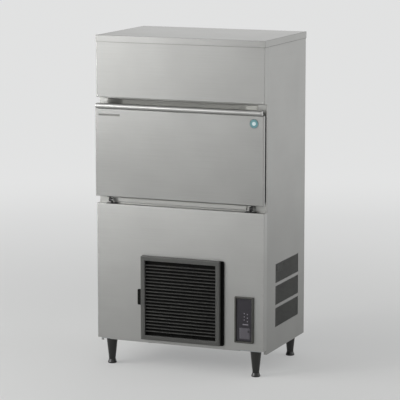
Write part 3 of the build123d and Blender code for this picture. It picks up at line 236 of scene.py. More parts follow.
# %% [markdown]
# ## Plain metals
#
# Zinc-coated sheet shows flat crystals some 10 mm wide, each turned a little differently, so each
# has its own brightness. Voronoi cells give them. Turned and plated fasteners are brighter and
# smoother. The evaporator is copper under a thin coat of tin, which leaves it a pale, warm metal,
# and the supply pipe is drawn copper. Noise gives these the slow dulling that handling leaves.

# %% Zinc, plate and copper


def spangled_zinc(name, dark, light, smooth, rough, crystal_mm):
    """Zinc crystals: each Voronoi cell has its own brightness and its own roughness."""
    material, tree, shader, place = start_material(name, Metallic=1.0)
    cells = add_node(tree, "ShaderNodeTexVoronoi", {"Vector": place, "Scale": 1000.0 / crystal_mm})
    tone = add_node(tree, "ShaderNodeSeparateColor", {"Color": cells.outputs["Color"]}).outputs["Red"]
    vary(tree, shader, tone, (dark, light), tone, (smooth, rough))
    return material


def dull_metal(name, dark, light, roughness, patch_mm):
    """Smooth metal with soft patches where it has dulled, which are 0.06 smoother to 0.08 rougher."""
    material, tree, shader, place = start_material(name, Metallic=1.0)
    soft = {"Vector": place, "Scale": 1000.0 / patch_mm, "Detail": 4.0}
    patches = add_node(tree, "ShaderNodeTexNoise", soft).outputs["Fac"]
    vary(tree, shader, patches, (dark, light), patches, (roughness - 0.06, roughness + 0.08))
    return material


zinc_sheet = spangled_zinc("zinc_coated_steel_spangled", "#a1a5a7", "#abafb1", 0.42, 0.48, 10.0)
plated_steel = dull_metal("nickel_plated_steel", "#bdbdbb", "#d2d2d0", 0.24, 6.0)
tinned_copper = dull_metal("tinned_copper", "#bfa592", "#d6c0ae", 0.33, 25.0)
bare_copper = dull_metal("drawn_copper_tube", "#b0714f", "#c98d69", 0.3, 20.0)
brass = dull_metal("brass_turned_nickel_plated", "#b79a5e", "#cbb078", 0.28, 8.0)
badge_metal = dull_metal("nickel_plated_badge_rim", "#6d7a7c", "#7f8b8d", 0.3, 6.0)
print("other metals:", zinc_sheet.name, plated_steel.name, tinned_copper.name, bare_copper.name, brass.name)

# %% [markdown]
# ## Plastics, rubber and paint
#
# Moulded plastic takes a fine grain from its mould: the grille is matt grey ABS, the liner smooth
# white ABS, the filter black polypropylene. Rubber is darker and flatter still. Powder coat has a
# gentle orange peel, 2 mm from crest to crest, and enamel a clear coat over its colour. They share
# one recipe: a noise as fine as the grain makes a very low bump, and a slower noise shifts the
# colour and the roughness a little. The mould's grain is really some 0.3 mm, and is drawn about
# 1.2 mm wide because anything finer is lost in the picture.

# %% Moulded and coated surfaces
PATCH_MM = 70.0
RELIEF_STRENGTH = 0.35


def grained(name, dark, light, roughness, grain_mm, depth_mm, **shader_values):
    """A moulded or coated surface: noise at the size of its grain, over slower patches."""
    material, tree, shader, place = start_material(name, **shader_values)
    fine = {"Vector": place, "Scale": 1000.0 / grain_mm, "Detail": 2.0}
    grain = add_node(tree, "ShaderNodeTexNoise", fine).outputs["Fac"]
    slow = {"Vector": place, "Scale": 1000.0 / PATCH_MM, "Detail": 3.0}
    patches = add_node(tree, "ShaderNodeTexNoise", slow).outputs["Fac"]
    vary(tree, shader, patches, (dark, light), patches, (roughness - 0.04, roughness + 0.05))
    relief = {"Height": grain, "Strength": RELIEF_STRENGTH, "Distance": depth_mm * MM}
    bump = add_node(tree, "ShaderNodeBump", relief)
    tree.links.new(bump.outputs["Normal"], shader.inputs["Normal"])
    return material


MATT = {"Specular IOR Level": 0.12}
COATED = {"Coat Weight": 0.6}
grille_abs = grained("abs_moulded_dark_grey", "#474745", "#50504d", 0.46, 1.2, 0.05)
# The blades get a darker copy of the frame's grey, which paints the shade that they stand in.
slat_abs_painted_shade = grained("abs_moulded_slat_grey_painted_shade", "#3e3e3c", "#484845", 0.5, 1.2, 0.05)
bezel_abs = grained("abs_moulded_bezel_grey", "#3a3a36", "#484742", 0.42, 1.2, 0.05)
filter_black = grained("polypropylene_moulded_black", "#0d0d0c", "#151513", 0.8, 1.5, 0.06, **MATT)
housing_black = grained("abs_moulded_black", "#070707", "#0c0c0b", 0.85, 1.5, 0.06, **MATT)
liner_white = grained("abs_vacuum_formed_white", "#dfe1df", "#e8eae8", 0.34, 8.0, 0.06)
part_grey = grained("nylon_moulded_grey", "#6f7274", "#7b7e80", 0.48, 1.0, 0.05)
# A dark grey strip under the cover's skirt: it paints the shadow line below the skirt's edge.
shadow_line_grey = grained("painted_shadow_line_grey", "#6a6a67", "#747471", 0.8, 1.5, 0.05)
rubber_black = grained("epdm_rubber_extruded", "#1a1a1a", "#222222", 0.66, 1.0, 0.05)
black_coat_and_hinge_shade = grained("powder_coated_black_and_hinge_shade", "#0e0e0e", "#161616", 0.38, 2.0, 0.04)
leg_black = grained("polyamide_moulded_leg_black", "#191918", "#222220", 0.3, 1.4, 0.04)
foam_cream = grained("polyurethane_foam_cut", "#d6c288", "#e2d09a", 0.8, 2.5, 0.3)
smoked_panel = grained("polycarbonate_smoked", "#252229", "#2c2930", 0.2, 30.0, 0.01)
film_grey = grained("printed_film_warm_grey", "#56535a", "#605d62", 0.4, 6.0, 0.01)
button_black = grained("abs_moulded_button_black", "#19181b", "#201f22", 0.3, 2.0, 0.02)
strip_grey = grained("anodised_strip_dark", "#6c6c69", "#787875", 0.35, 3.0, 0.02, Metallic=0.6)
lens_pale = grained("acrylic_lens_milky", "#8f8b94", "#a09ca4", 0.16, 20.0, 0.01)
badge_green = grained("enamel_sea_green", "#5f9297", "#72a3a7", 0.18, 12.0, 0.01, **COATED)
badge_white = grained("enamel_ice_white", "#d3e6e8", "#dfeff1", 0.18, 12.0, 0.01, **COATED)
print("materials in all:", len(bpy.data.materials))

# %% [markdown]
# ## A finish for every solid
#
# Each finish is listed once with the pieces that have it, which is easier to check against the
# machine than a call for every piece. The solids that are replaced further down are in the list
# too, so that none is left bare if its new piece is taken out.

# %% Finishes of the solids
finishes = (
    (steel_panel, "right_side_panel left_side_panel upper_front_panel"),
    (steel_door, "door_skin"),
    (steel_lower_painted_light, "lower_front_panel"),
    (steel_cover, "top_cover"),
    (steel_inner, "front_frame"),
    (steel_pocket_painted_shade, "finger_pocket"),
    (steel_satin, "door_grip grip_end_caps drain_pipe service_cover"),
    (zinc_sheet, "rear_panel base_pan control_box unit_bracket"),
    (plated_steel, "hinge_pins pivot_pins leg_nuts inlet_fitting panel_screws tray_springs"),
    (tinned_copper, "evaporator evaporator_tube condenser"),
    (bare_copper, "supply_pipe"),
    (grille_abs, "grille_frame"),
    (bezel_abs, "control_bezel"),
    (housing_black, "filter_housing fan_shroud"),
    (filter_black, "air_filter fan"),
    (liner_white, "door_liner bin_liner water_plate water_tank ice_level_sensor cam_arms"),
    (part_grey, "actuator_motor water_pump fan_motor water_valve"),
    (rubber_black, "door_gasket pump_hose cable_gland"),
    # The compressor's black is its own. On the hinges, the black also paints the shade in the notches round
    # them.
    (black_coat_and_hinge_shade, "cabinet_hinges door_hinges compressor"),
    (leg_black, "legs front_left_foot front_right_foot rear_left_foot rear_right_foot"),
    (foam_cream, "cabinet_insulation door_insulation"),
    (smoked_panel, "control_plate"),
    (button_black, "reset_button"),
    (strip_grey, "name_strip"),
    (lens_pale, "indicator_lenses"),
    (badge_green, "round_badge"),
)
for material, names in finishes:
    for name in names.split():
        for material_slot in nodes[name].material_slots:
            material_slot.material = material
print("finishes:", len(finishes), "solids:", sum(len(names.split()) for material, names in finishes))

# %% [markdown]
# ## Skins
#
# Every new piece is a stack of rings. A ring is a closed row of points, and the skin joins each
# ring to the next with quads. A stack that ends is closed by a point in the middle of its last
# rings; a stack that returns to its start, such as a gasket, is joined to itself. The points are
# whole numpy arrays, so no loop visits them one by one.

# %% Skin helpers
SHARP_ANGLE = 35.0


def skin(rings, closed=False):
    """Points and faces of rings[i, j]. Quads join (i, j), (i, j+1), (i+1, j+1), (i+1, j), and the
    faces are turned round if the volume that they enclose, the sum of triple products, is negative."""
    rings = np.asarray(rings, float)
    count, around = rings.shape[:2]
    points = rings.reshape(-1, 3)
    i = np.arange(count if closed else count - 1)[:, None]
    j = np.arange(around)[None, :]
    a = i * around + j
    b = i * around + (j + 1) % around
    c = ((i + 1) % count) * around + (j + 1) % around
    d = ((i + 1) % count) * around + j
    quads = np.stack([a, b, c, d], -1).reshape(-1, 4)
    triangles = np.concatenate([quads[:, [0, 1, 2]], quads[:, [0, 2, 3]]])
    fans = np.empty((0, 3), int)
    if not closed:
        ends = np.stack([rings[0].mean(0), rings[-1].mean(0)])
        first, last = len(points), len(points) + 1
        points = np.concatenate([points, ends])
        k = np.arange(around)
        start = np.stack([np.full(around, first), (k + 1) % around, k], -1)
        final = (count - 1) * around
        finish = np.stack([np.full(around, last), final + k, final + (k + 1) % around], -1)
        fans = np.concatenate([start, finish])
        triangles = np.concatenate([triangles, fans])
    p, q, r = (points[triangles[:, n]] for n in range(3))
    if np.einsum("ij,ij->i", p, np.cross(q, r)).sum() < 0:
        quads, fans = quads[:, ::-1], fans[:, ::-1]
    return points, quads, fans


def make_piece(name, skins, material, body, replaces=()):
    """One object from one or more skins, in metres, smooth except where faces meet sharply."""
    points, faces, offset = [], [], 0
    for skin_points, quads, fans in skins:
        points.append(skin_points * MM)
        faces += (quads + offset).tolist() + (fans + offset).tolist()
        offset += len(skin_points)
    mesh = bpy.data.meshes.new(name)
    mesh.from_pydata(np.concatenate(points).tolist(), [], faces)
    mesh.update()
    mesh.shade_smooth()
    mesh.set_sharp_from_angle(angle=math.radians(SHARP_ANGLE))
    mesh.materials.append(material)
    piece = bpy.data.objects.new(name, mesh)
    bpy.context.scene.collection.objects.link(piece)
    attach(piece, body)
    if replaces:
        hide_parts(*replaces)
    print(name, "on", body, "faces:", len(faces))


def placed(rings, places):
    """The same rings at several places, each as a skin of its own."""
    return [skin(rings + np.asarray(place, float)) for place in places]


corners = np.array([(-1, -1), (1, -1), (1, 1), (-1, 1)], float)
cube = np.stack([np.insert(corners, 2, level, axis=1) for level in (-1.0, 1.0)])
print("a cube's skin has quads and fans:", [len(part) for part in skin(cube)[1:]])

# %% [markdown]
# ## Outlines
#
# Most rings here are one of two kinds: a circle, for what was turned on a lathe, or a rectangle
# with round corners, for what was moulded or pressed. A frame such as a grille's border is a small
# section carried round such a rectangle, which a list of insets and depths describes well.

# %% Outline helpers
CORNER_STEPS, SMALLEST_CORNER = 6, 0.4
X, Y, Z = range(3)


def stacked(outlines, levels, axis):
    """Rings from flat outlines: each gets its level as the coordinate along the axis."""
    outlines = np.asarray(outlines, float)
    levels = np.asarray(levels, float)[:, None, None]
    return np.insert(outlines, [axis], np.broadcast_to(levels, (*outlines.shape[:2], 1)), axis=2)


def turned(profile, centre, axis, around):
    """A turned shape: each (radius, height) of the profile becomes a circle about a level axis."""
    radius, height = np.asarray(profile, float).T
    angle = np.linspace(0, 2 * np.pi, around, endpoint=False)
    axis = np.asarray(axis, float)
    side = np.cross(axis, [0.0, 0.0, 1.0])
    other = np.cross(axis, side)
    circle = np.cos(angle)[:, None] * side + np.sin(angle)[:, None] * other
    return np.asarray(centre, float) + radius[:, None, None] * circle + height[:, None, None] * axis


def rounded_loop(half_x, half_z, radius):
    """A rectangle with round corners as one closed row of (x, z): four quarter circles in turn."""
    turn = np.linspace(0, np.pi / 2, CORNER_STEPS)
    signs = np.array([(1, 1), (-1, 1), (-1, -1), (1, -1)])
    angles = turn[None, :] + np.arange(4)[:, None] * np.pi / 2
    x = signs[:, :1] * (half_x - radius) + radius * np.cos(angles)
    z = signs[:, 1:] * (half_z - radius) + radius * np.sin(angles)
    return np.stack([x.ravel(), z.ravel()], -1)


def border(profile, middle, half_x, half_z, radius):
    """A frame: each (inset, y) of the profile becomes a rounded rectangle drawn inwards by inset."""
    insets, levels = np.transpose(profile)
    radii = np.maximum(radius - insets, SMALLEST_CORNER)
    outlines = [rounded_loop(half_x - inset, half_z - inset, r) for inset, r in zip(insets, radii)]
    return stacked(outlines, levels, Y) + (middle[X], 0.0, middle[Z])


def rounded_section(front, back, width, outer, inner, steps, draft=0.0):
    """A border's section as (inset, y): a quarter circle of radius outer leads on to the front and
    one of radius inner leads off it. Towards the back the inside widens by the draft."""
    turn = np.linspace(0, np.pi / 2, steps)
    over = np.stack([outer * (1 - np.cos(turn)), front + outer * (1 - np.sin(turn))], -1)
    down = np.stack([width - inner * (1 - np.sin(turn)), front + inner * (1 - np.cos(turn))], -1)
    return np.concatenate([[(0.0, back)], over, down, [(width + draft, back)]])


print("points round a rounded rectangle:", len(rounded_loop(10.0, 5.0, 2.0)))

# %% [markdown]
# ## The air grille
#
# The real grille is one moulding: a square frame with a soft outer edge, and level blades that
# slope down towards the front so that nobody sees the filter. The solid has flat-edged blades.
# Here each blade is a flattened drop with a round nose, and the frame's profile is carried round
# a rounded square, because it is the rounding that catches the light along every edge. There are
# 21 blades, as the picture shows, a little further apart than in the solid.

# %% Grille
grille_low, grille_middle, grille_high = box_mm("grille_frame")
GRILLE_HALF = grille_high[X] - grille_middle[X]
GRILLE_BORDER, GRILLE_CORNER = 17.5, 2.5
SLATS, SLAT_PITCH, SLAT_DEPTH, SLAT_THICKNESS, SLAT_TILT = 21, 13.1, 9.0, 2.2, 16.0
SLAT_TAPER, SLAT_OVERLAP = 0.15, 1.0


def blade(depth, thickness, tilt, half_length):
    """A drop-shaped rod along X: y = depth/2 cos t, z = thickness/2 sin t with a thinner tail."""
    t = np.linspace(0, 2 * np.pi, 16, endpoint=False)
    y = 0.5 * depth * np.cos(t)
    z = 0.5 * thickness * np.sin(t) * (1 - SLAT_TAPER - SLAT_TAPER * np.cos(t))
    a = math.radians(tilt)
    yz = np.stack([y * math.cos(a) - z * math.sin(a), y * math.sin(a) + z * math.cos(a)], -1)
    return stacked([yz, yz], [-half_length, half_length], X)


frame_profile = rounded_section(
    grille_low[Y], grille_high[Y], GRILLE_BORDER, outer=1.6, inner=1.2, steps=6
)
frame_rings = border(frame_profile, grille_middle, GRILLE_HALF, GRILLE_HALF, GRILLE_CORNER)
slat_rings = blade(SLAT_DEPTH, SLAT_THICKNESS, SLAT_TILT, GRILLE_HALF - GRILLE_BORDER + SLAT_OVERLAP)
slat_rises = (np.arange(SLATS) - (SLATS - 1) / 2) * SLAT_PITCH
slat_places = [grille_middle + (0.0, 0.0, rise) for rise in slat_rises]
make_piece("grille_border", [skin(frame_rings, closed=True)], grille_abs, "cabinet", ["grille_frame"])
make_piece("grille_slats", placed(slat_rings, slat_places), slat_abs_painted_shade, "cabinet", ["grille_frame"])

# %% [markdown]
# ## The ends of the door grip
#
# The grip is a rolled steel section with a half-round nose, closed at both ends by small caps
# with rounded rims. A cap could be a slice with a chamfer, as in the solid. A quarter of an
# ellipse along its length makes the rim run over smoothly, as the pressed cap does.

# %% Grip ends
_, caps_middle, caps_high = box_mm("grip_end_caps")
GRIP_NOSE, CAP_LENGTH, CAP_ROUND = -253.0, 4.0, 2.6


def grip_end(side):
    """D-shaped rings that shrink by up to 2.6 mm as an elliptic quarter towards the end."""
    radius = caps_high[Z] - caps_middle[Z]
    arc = np.linspace(np.pi / 2, 3 * np.pi / 2, 18)
    nose = np.stack([GRIP_NOSE + radius + radius * np.cos(arc), radius * np.sin(arc)], -1)
    outline = np.concatenate([nose, [(caps_high[Y], -radius), (caps_high[Y], radius)]])
    centre = np.array([(GRIP_NOSE + radius + caps_high[Y]) / 2, 0.0])
    t = np.linspace(0, np.pi / 2, 7)
    shrink = 1.0 - CAP_ROUND / radius * (1.0 - np.cos(t))
    yz = centre + shrink[:, None, None] * (outline - centre)
    rings = stacked(yz, side * (caps_high[X] - CAP_LENGTH + CAP_LENGTH * np.sin(t)), X)
    return skin(rings + (0.0, 0.0, caps_middle[Z]))


make_piece("grip_end_covers", [grip_end(-1), grip_end(1)], steel_satin, "door", ["grip_end_caps"])

# %% [markdown]
# ## The door gasket
#
# A magnetic gasket is an extruded rubber section with a hollow bellows and a flat sealing face.
# Its folds show as thin lines round the door. The section is drawn once as (inset, depth) pairs
# and carried round the door's edge, which keeps the mitred corners of the real one.

# %% Gasket
gasket_low, gasket_middle, gasket_high = box_mm("door_gasket")
GASKET_CORNER = 6.0
front, rear = gasket_low[Y], gasket_high[Y]
gasket_profile = [
    (0.0, front),
    (0.0, front + 5.0),
    (2.6, front + 7.5),
    (0.6, front + 11.0),
    (2.6, front + 14.0),
    (0.8, rear - 4.0),
    (2.0, rear),
    (14.0, rear),
    (15.4, rear - 3.0),
    (13.6, front + 12.0),
    (16.0, front + 6.0),
    (16.0, front),
]
gasket_half = gasket_high - gasket_middle
gasket_rings = border(gasket_profile, gasket_middle, gasket_half[X], gasket_half[Z], GASKET_CORNER)
make_piece("door_gasket_bellows", [skin(gasket_rings, closed=True)], rubber_black, "door", ["door_gasket"])

# %% [markdown]
# ## The finger pocket
#
# Above the door the frame is pressed inwards so that fingers can reach behind the grip. The solid
# is a plain tapered tray. A real pressing runs out gently at its ends, where the sheet would tear
# if it were steep, so here the ends slope over 60 mm while the long sides stay nearly upright.

# %% Finger pocket
pocket_low, pocket_middle, pocket_high = box_mm("finger_pocket")
pocket_half = pocket_high - pocket_middle
POCKET_DEEP, POCKET_CORNER, SHEET = 17.0, 3.0, 0.8
END_SLOPE, SIDE_SLOPE = 60.0, 3.0


def pocket_rings(runs, levels, outward):
    """Level slots that each draw in by their run: run x 60 mm at the ends, run x 3 mm at the sides."""
    half_x = pocket_half[X] - END_SLOPE * runs + outward
    half_z = pocket_half[Z] - SIDE_SLOPE * runs + outward
    outlines = [rounded_loop(x, z, POCKET_CORNER) for x, z in zip(half_x, half_z)]
    return stacked(outlines, levels, Y) + (pocket_middle[X], 0.0, pocket_middle[Z])


runs = np.linspace(0.0, 1.0, 9)
ease = runs**2 * (3 - 2 * runs)
levels = pocket_low[Y] + POCKET_DEEP * ease
outside = pocket_rings(runs, levels + SHEET, 0.0)
lip = pocket_rings(runs[:1], levels[:1], 0.0)
inside = pocket_rings(runs, levels, -SHEET)
pocket_skin = skin(np.concatenate([outside[::-1], lip, inside]))
make_piece("finger_pocket_pressing", [pocket_skin], steel_pocket_painted_shade, "cabinet", ["finger_pocket"])

# %% [markdown]
# ## Screws
#
# Thin sheet is held by pan-head screws with a cross recess. A smooth bowl of revolution is almost
# enough, but the cross is what makes a dot read as a screw, so the height of each point of the
# dome is lowered where it lies in one of the two crossing grooves.

# %% Screws
GROOVE_HALF, GROOVE_REACH, GROOVE_DEPTH, RIM_HEIGHT = 0.16, 0.62, 0.4, 0.25
REAR_SCREW, FRONT_SCREW = (4.5, 2.4, 1.0), (2.5, 0.8, -1.0)
SCREW_ROWS, ROW_MARGIN, REAR_INSET = 4, 20.0, 8.0
FRONT_INSET, FRONT_RISE = 7.0, 6.0


def screw_head(radius, height, outward):
    """A dome h (1/4 + 3/4 (1 - r^2)^0.5), lowered by 0.4 h where |x| or |y| < 0.16 and r < 0.62."""
    r = np.concatenate([[1.0, 1.0], np.cos(np.linspace(0.15, np.pi / 2 - 0.06, 9))])[:, None]
    angle = np.linspace(0, 2 * np.pi, 32, endpoint=False)
    x, y = r * np.cos(angle), r * np.sin(angle)
    dome = height * (RIM_HEIGHT + (1 - RIM_HEIGHT) * np.sqrt(1 - r**2)) * np.ones_like(x)
    dome[0] = 0.0
    groove = (np.minimum(np.abs(x), np.abs(y)) < GROOVE_HALF) & (r < GROOVE_REACH)
    depth = outward * (dome - GROOVE_DEPTH * height * groove)
    return np.stack([radius * x, depth, radius * y], -1)


rear_low, _, rear_high = box_mm("rear_panel")
front_low, _, front_high = box_mm("upper_front_panel")
cover_low, _, cover_high = box_mm("top_cover")
rows = np.linspace(rear_low[Z] + ROW_MARGIN, cover_low[Z] - ROW_MARGIN, SCREW_ROWS)
rear_x, front_x = rear_high[X] - REAR_INSET, front_high[X] - FRONT_INSET
rear_places = [(x, rear_high[Y], z) for x in (-rear_x, rear_x) for z in rows]
front_places = [(x, front_low[Y], front_low[Z] + FRONT_RISE) for x in (-front_x, front_x)]
screws = placed(screw_head(*REAR_SCREW), rear_places) + placed(screw_head(*FRONT_SCREW), front_places)
make_piece("cross_head_screws", screws, plated_steel, "cabinet", ["panel_screws"])

# %% [markdown]
# ## The control panel's surround
#
# The controls sit in a small well of the lower panel, behind a moulded surround. It is a plain
# rectangle with two soft edges, so it takes the same recipe as the grille's border, with a little
# draft inside, which every moulding needs to leave its mould.

# %% Control surround
_, panel_middle, _ = box_mm("control_bezel")
SURROUND_SHIFT, SURROUND_HALF_X, SURROUND_HALF_Z, SURROUND_CORNER = -0.8, 38.8, 90.5, 3.0
SURROUND_FRONT, SURROUND_BACK, SURROUND_WIDTH, SURROUND_DRAFT = -238.0, -230.1, 6.6, 0.2

surround_profile = rounded_section(
    SURROUND_FRONT, SURROUND_BACK, SURROUND_WIDTH, outer=1.8, inner=1.0, steps=5, draft=SURROUND_DRAFT
)
surround_rings = border(
    surround_profile,
    panel_middle + (SURROUND_SHIFT, 0.0, 0.0),
    SURROUND_HALF_X,
    SURROUND_HALF_Z,
    SURROUND_CORNER,
)
make_piece("control_surround", [skin(surround_rings, closed=True)], bezel_abs, "cabinet", ["control_bezel"])

# %% [markdown]
# ## Lenses and film
#
# On the smoked plate are small milky lenses, one short light bar and a square of warm grey film.
# A lens is a shallow dome in a thin collar, turned from a profile. The bar and the film are low
# pads with bevelled edges: each (inset, height) pair of their profile is a rounded rectangle.

# %% Lenses and film
PLATE_FRONT = box_mm("control_plate")[0][Y]
TO_FRONT = (0.0, -1.0, 0.0)
LENS_RADIUS, LENS_HEIGHT = 2.2, 0.8
LENS_COLUMNS = ((0.0, 13.0, 12.4), (12.8, 9.0, 14.0))
BAR_PROFILE = [(0.0, 0.0), (0.0, 0.5), (0.6, 0.8), (1.9, 0.8)]
FILM_PROFILE = [(0.0, 0.0), (0.0, 0.2), (0.3, 0.3), (10.0, 0.3)]


def lens_profile(radius, height):
    """A collar, then a dome: radius 0.78 r cos t, height 0.35 h + 0.65 h sin t."""
    t = np.linspace(0.1, np.pi / 2 - 0.05, 7)
    dome = np.stack([0.78 * radius * np.cos(t), 0.35 * height + 0.65 * height * np.sin(t)], -1)
    rim = [(radius, 0.0), (radius, 0.4 * height), (0.82 * radius, 0.5 * height)]
    return np.concatenate([rim, dome])


def pad(profile, right, up, half_x, half_z, radius):
    """A low pad on the plate, so far to the right of the panel's middle and so far above it."""
    section = [(inset, PLATE_FRONT - height) for inset, height in profile]
    return skin(border(section, panel_middle + (right, 0.0, up), half_x, half_z, radius))


lens_rings = turned(lens_profile(LENS_RADIUS, LENS_HEIGHT), (0, 0, 0), TO_FRONT, 20)
lens_places = [
    (panel_middle[X] + right, PLATE_FRONT, panel_middle[Z] + up + pitch * row)
    for right, up, pitch in LENS_COLUMNS
    for row in (-1, 0, 1)
]
light_bar = pad(BAR_PROFILE, right=5.0, up=-17.4, half_x=11.5, half_z=2.0, radius=1.2)
film = pad(FILM_PROFILE, right=1.9, up=-53.0, half_x=21.5, half_z=21.5, radius=2.0)
lens_skins = placed(lens_rings, lens_places) + [light_bar]
make_piece("indicator_domes", lens_skins, lens_pale, "cabinet", ["indicator_lenses"])
make_piece("blank_film", [film], film_grey, "cabinet")

# %% [markdown]
# ## The reset button
#
# A push button is dished so that the fingertip finds its middle. A plain cylinder would do from
# afar, but the hollow is what the light finds up close. So a profile with a collar, a rounded rim
# and a shallow hollow is turned about the button's axis. It rides on the button's own body,
# because it moves when it is pressed.

# %% Button
button_middle = box_mm("reset_button")[1]
BUTTON_PROFILE = [
    (5.5, -3.3),
    (5.5, -2.3),
    (4.0, -2.3),
    (4.0, 2.2),
    (3.8, 2.7),
    (3.2, 3.0),
    (2.4, 2.7),
    (1.2, 2.5),
]
button_place = (button_middle[X], PLATE_FRONT, button_middle[Z])
button_rings = turned(BUTTON_PROFILE, button_place, TO_FRONT, 36)
make_piece("dished_button", [skin(button_rings)], button_black, "button", ["reset_button"])

# %% [markdown]
# ## The badge
#
# The door carries a small round badge: a stamped rim of plated metal, a ring of sea green enamel
# and a pale middle. It could be one disc painted by a material, but three pieces keep the edges
# between the colours sharp. Enamel stands a little proud where it was poured, so both fields are
# shallow domes, and the light on them moves as the door swings.

# %% Badge
_, badge_middle, badge_high = box_mm("round_badge")
BADGE_CENTRE = (badge_middle[X], badge_high[Y], badge_middle[Z])
RIM_RADIUS, RING_RADIUS, MIDDLE_RADIUS = 18.0, 15.6, 7.5
RIM_PROFILE = [
    (RING_RADIUS, 0.0),
    (RIM_RADIUS, 0.0),
    (RIM_RADIUS, 1.0),
    (RIM_RADIUS - 0.7, 1.6),
    (RING_RADIUS + 0.7, 1.6),
    (RING_RADIUS, 1.0),
]


def badge_disc(outer, base, rise):
    """A flat-edged disc whose face rises by rise (1 - (r / outer)^2) towards its middle."""
    t = np.linspace(0.0, 0.97, 8)
    face = np.stack([outer * (1 - t), base + rise * (1 - (1 - t) ** 2)], -1)
    return turned(np.concatenate([[(outer, 0.0)], face]), BADGE_CENTRE, TO_FRONT, 64)


rim_rings = turned(RIM_PROFILE, BADGE_CENTRE, TO_FRONT, 64)
ring_rings = badge_disc(RING_RADIUS, base=0.9, rise=0.3)
middle_rings = badge_disc(MIDDLE_RADIUS, base=1.3, rise=0.4)
make_piece("badge_rim", [skin(rim_rings, closed=True)], badge_metal, "door", ["round_badge"])
make_piece("badge_ring", [skin(ring_rings)], badge_green, "door", ["round_badge"])
make_piece("badge_middle", [skin(middle_rings)], badge_white, "door", ["round_badge"])

# %% [markdown]
# ## The painted shadow under the cover
#
# The cover's skirt laps over the panels, and its edge throws one fine dark line of shadow on them.
# A thin dark grey strip below the skirt paints that shadow line; it is drawn as a strip of foam on
# which the skirt rests. The strip follows the cabinet all round, so it is a band with rounded
# corners, made like the grille's border but lying flat.

# %% Painted shadow line under the cover
SHADOW_STRIP_INSET, SHADOW_STRIP_WIDTH, SHADOW_STRIP_CORNER = 0.8, 0.65, 2.8
SHADOW_STRIP_GAP, SHADOW_STRIP_HEIGHT = 0.1, 1.4

shadow_strip_high = cover_low[Z] - SHADOW_STRIP_GAP
shadow_strip_low = shadow_strip_high - SHADOW_STRIP_HEIGHT
shadow_strip_half = cover_high - SHADOW_STRIP_INSET
shadow_strip_insets, shadow_strip_levels = (0.0, 0.0, SHADOW_STRIP_WIDTH, SHADOW_STRIP_WIDTH), (shadow_strip_low, shadow_strip_high, shadow_strip_high, shadow_strip_low)
shadow_strip_loops = [rounded_loop(shadow_strip_half[X] - d, shadow_strip_half[Y] - d, SHADOW_STRIP_CORNER - d) for d in shadow_strip_insets]
shadow_strip_rings = stacked(shadow_strip_loops, shadow_strip_levels, Z)
make_piece("cover_shadow_line_strip", [skin(shadow_strip_rings, closed=True)], shadow_line_grey, "cabinet")

# %% [markdown]
# ## Springs
#
# The water tray is held up by two long springs. The solid's coils have few turns of square wire,
# because round wire costs many faces. Here the wire is round, a circle carried along a helix of
# twice the turns. Its frame is worked out from the helix itself: the circle is spanned by the
# radial direction and by the direction square to both that and the wire.

# %% Tray springs
_, springs_middle, springs_high = box_mm("tray_springs")
SPRING_RADIUS, WIRE_RADIUS, SPRING_TURNS = 4.5, 0.8, 14
SPRING_LOW, SPRING_HIGH = 1188.5, 1256.1
STEPS_A_TURN, WIRE_STEPS = 12, 8


def coil(centre_x, centre_y):
    """Helix r(cos t, sin t), z linear in t; each ring is w(cos s * radial + sin s * binormal)."""
    t = np.linspace(0, 2 * np.pi * SPRING_TURNS, STEPS_A_TURN * SPRING_TURNS)
    height = SPRING_HIGH - SPRING_LOW - 2 * WIRE_RADIUS
    radial = np.stack([np.cos(t), np.sin(t), 0 * t], -1)
    z = SPRING_LOW + WIRE_RADIUS + height * t / t[-1]
    middle = SPRING_RADIUS * radial + np.stack([0 * t + centre_x, 0 * t + centre_y, z], -1)
    tangent = np.stack([-np.sin(t), np.cos(t), 0 * t + height / (t[-1] * SPRING_RADIUS)], -1)
    tangent /= np.linalg.norm(tangent, axis=1, keepdims=True)
    binormal = np.cross(radial, tangent)
    s = np.linspace(0, 2 * np.pi, WIRE_STEPS, endpoint=False)[None, :, None]
    return middle[:, None] + WIRE_RADIUS * (np.cos(s) * radial[:, None] + np.sin(s) * binormal[:, None])


spring_reach = springs_high[Y] - SPRING_RADIUS - WIRE_RADIUS - springs_middle[Y]
spring_ys = [springs_middle[Y] + side * spring_reach for side in (-1, 1)]
spring_skins = [skin(coil(springs_middle[X], y)) for y in spring_ys]
make_piece("tray_spring_coils", spring_skins, plated_steel, "water_tray", ["tray_springs"])

# %% [markdown]
# ## The water inlet
#
# The supply hose screws on to a brass thread that stands out of a hexagonal nut. A thread could
# be a true helix, but at this size rings with the thread's pitch look the same and close cleanly:
# the profile simply goes up and down by the thread's depth. The nut's radius follows its flats.

# %% Inlet thread
inlet_low, inlet_middle, inlet_high = box_mm("inlet_fitting")
BORE_RADIUS, BODY_RADIUS, CREST_RADIUS = 8.0, 13.0, 13.2
THREAD_PITCH, THREAD_DEPTH, THREAD_START, THREAD_END = 1.8, 0.8, 236.6, 251.5
NUT_HALF, NUT_STEPS = 16.4, 36
NUT_LEVELS = [(0.62, 230.3), (0.97, 230.3), (1.0, 230.9), (1.0, 235.6), (0.97, 236.3), (0.72, 236.3)]

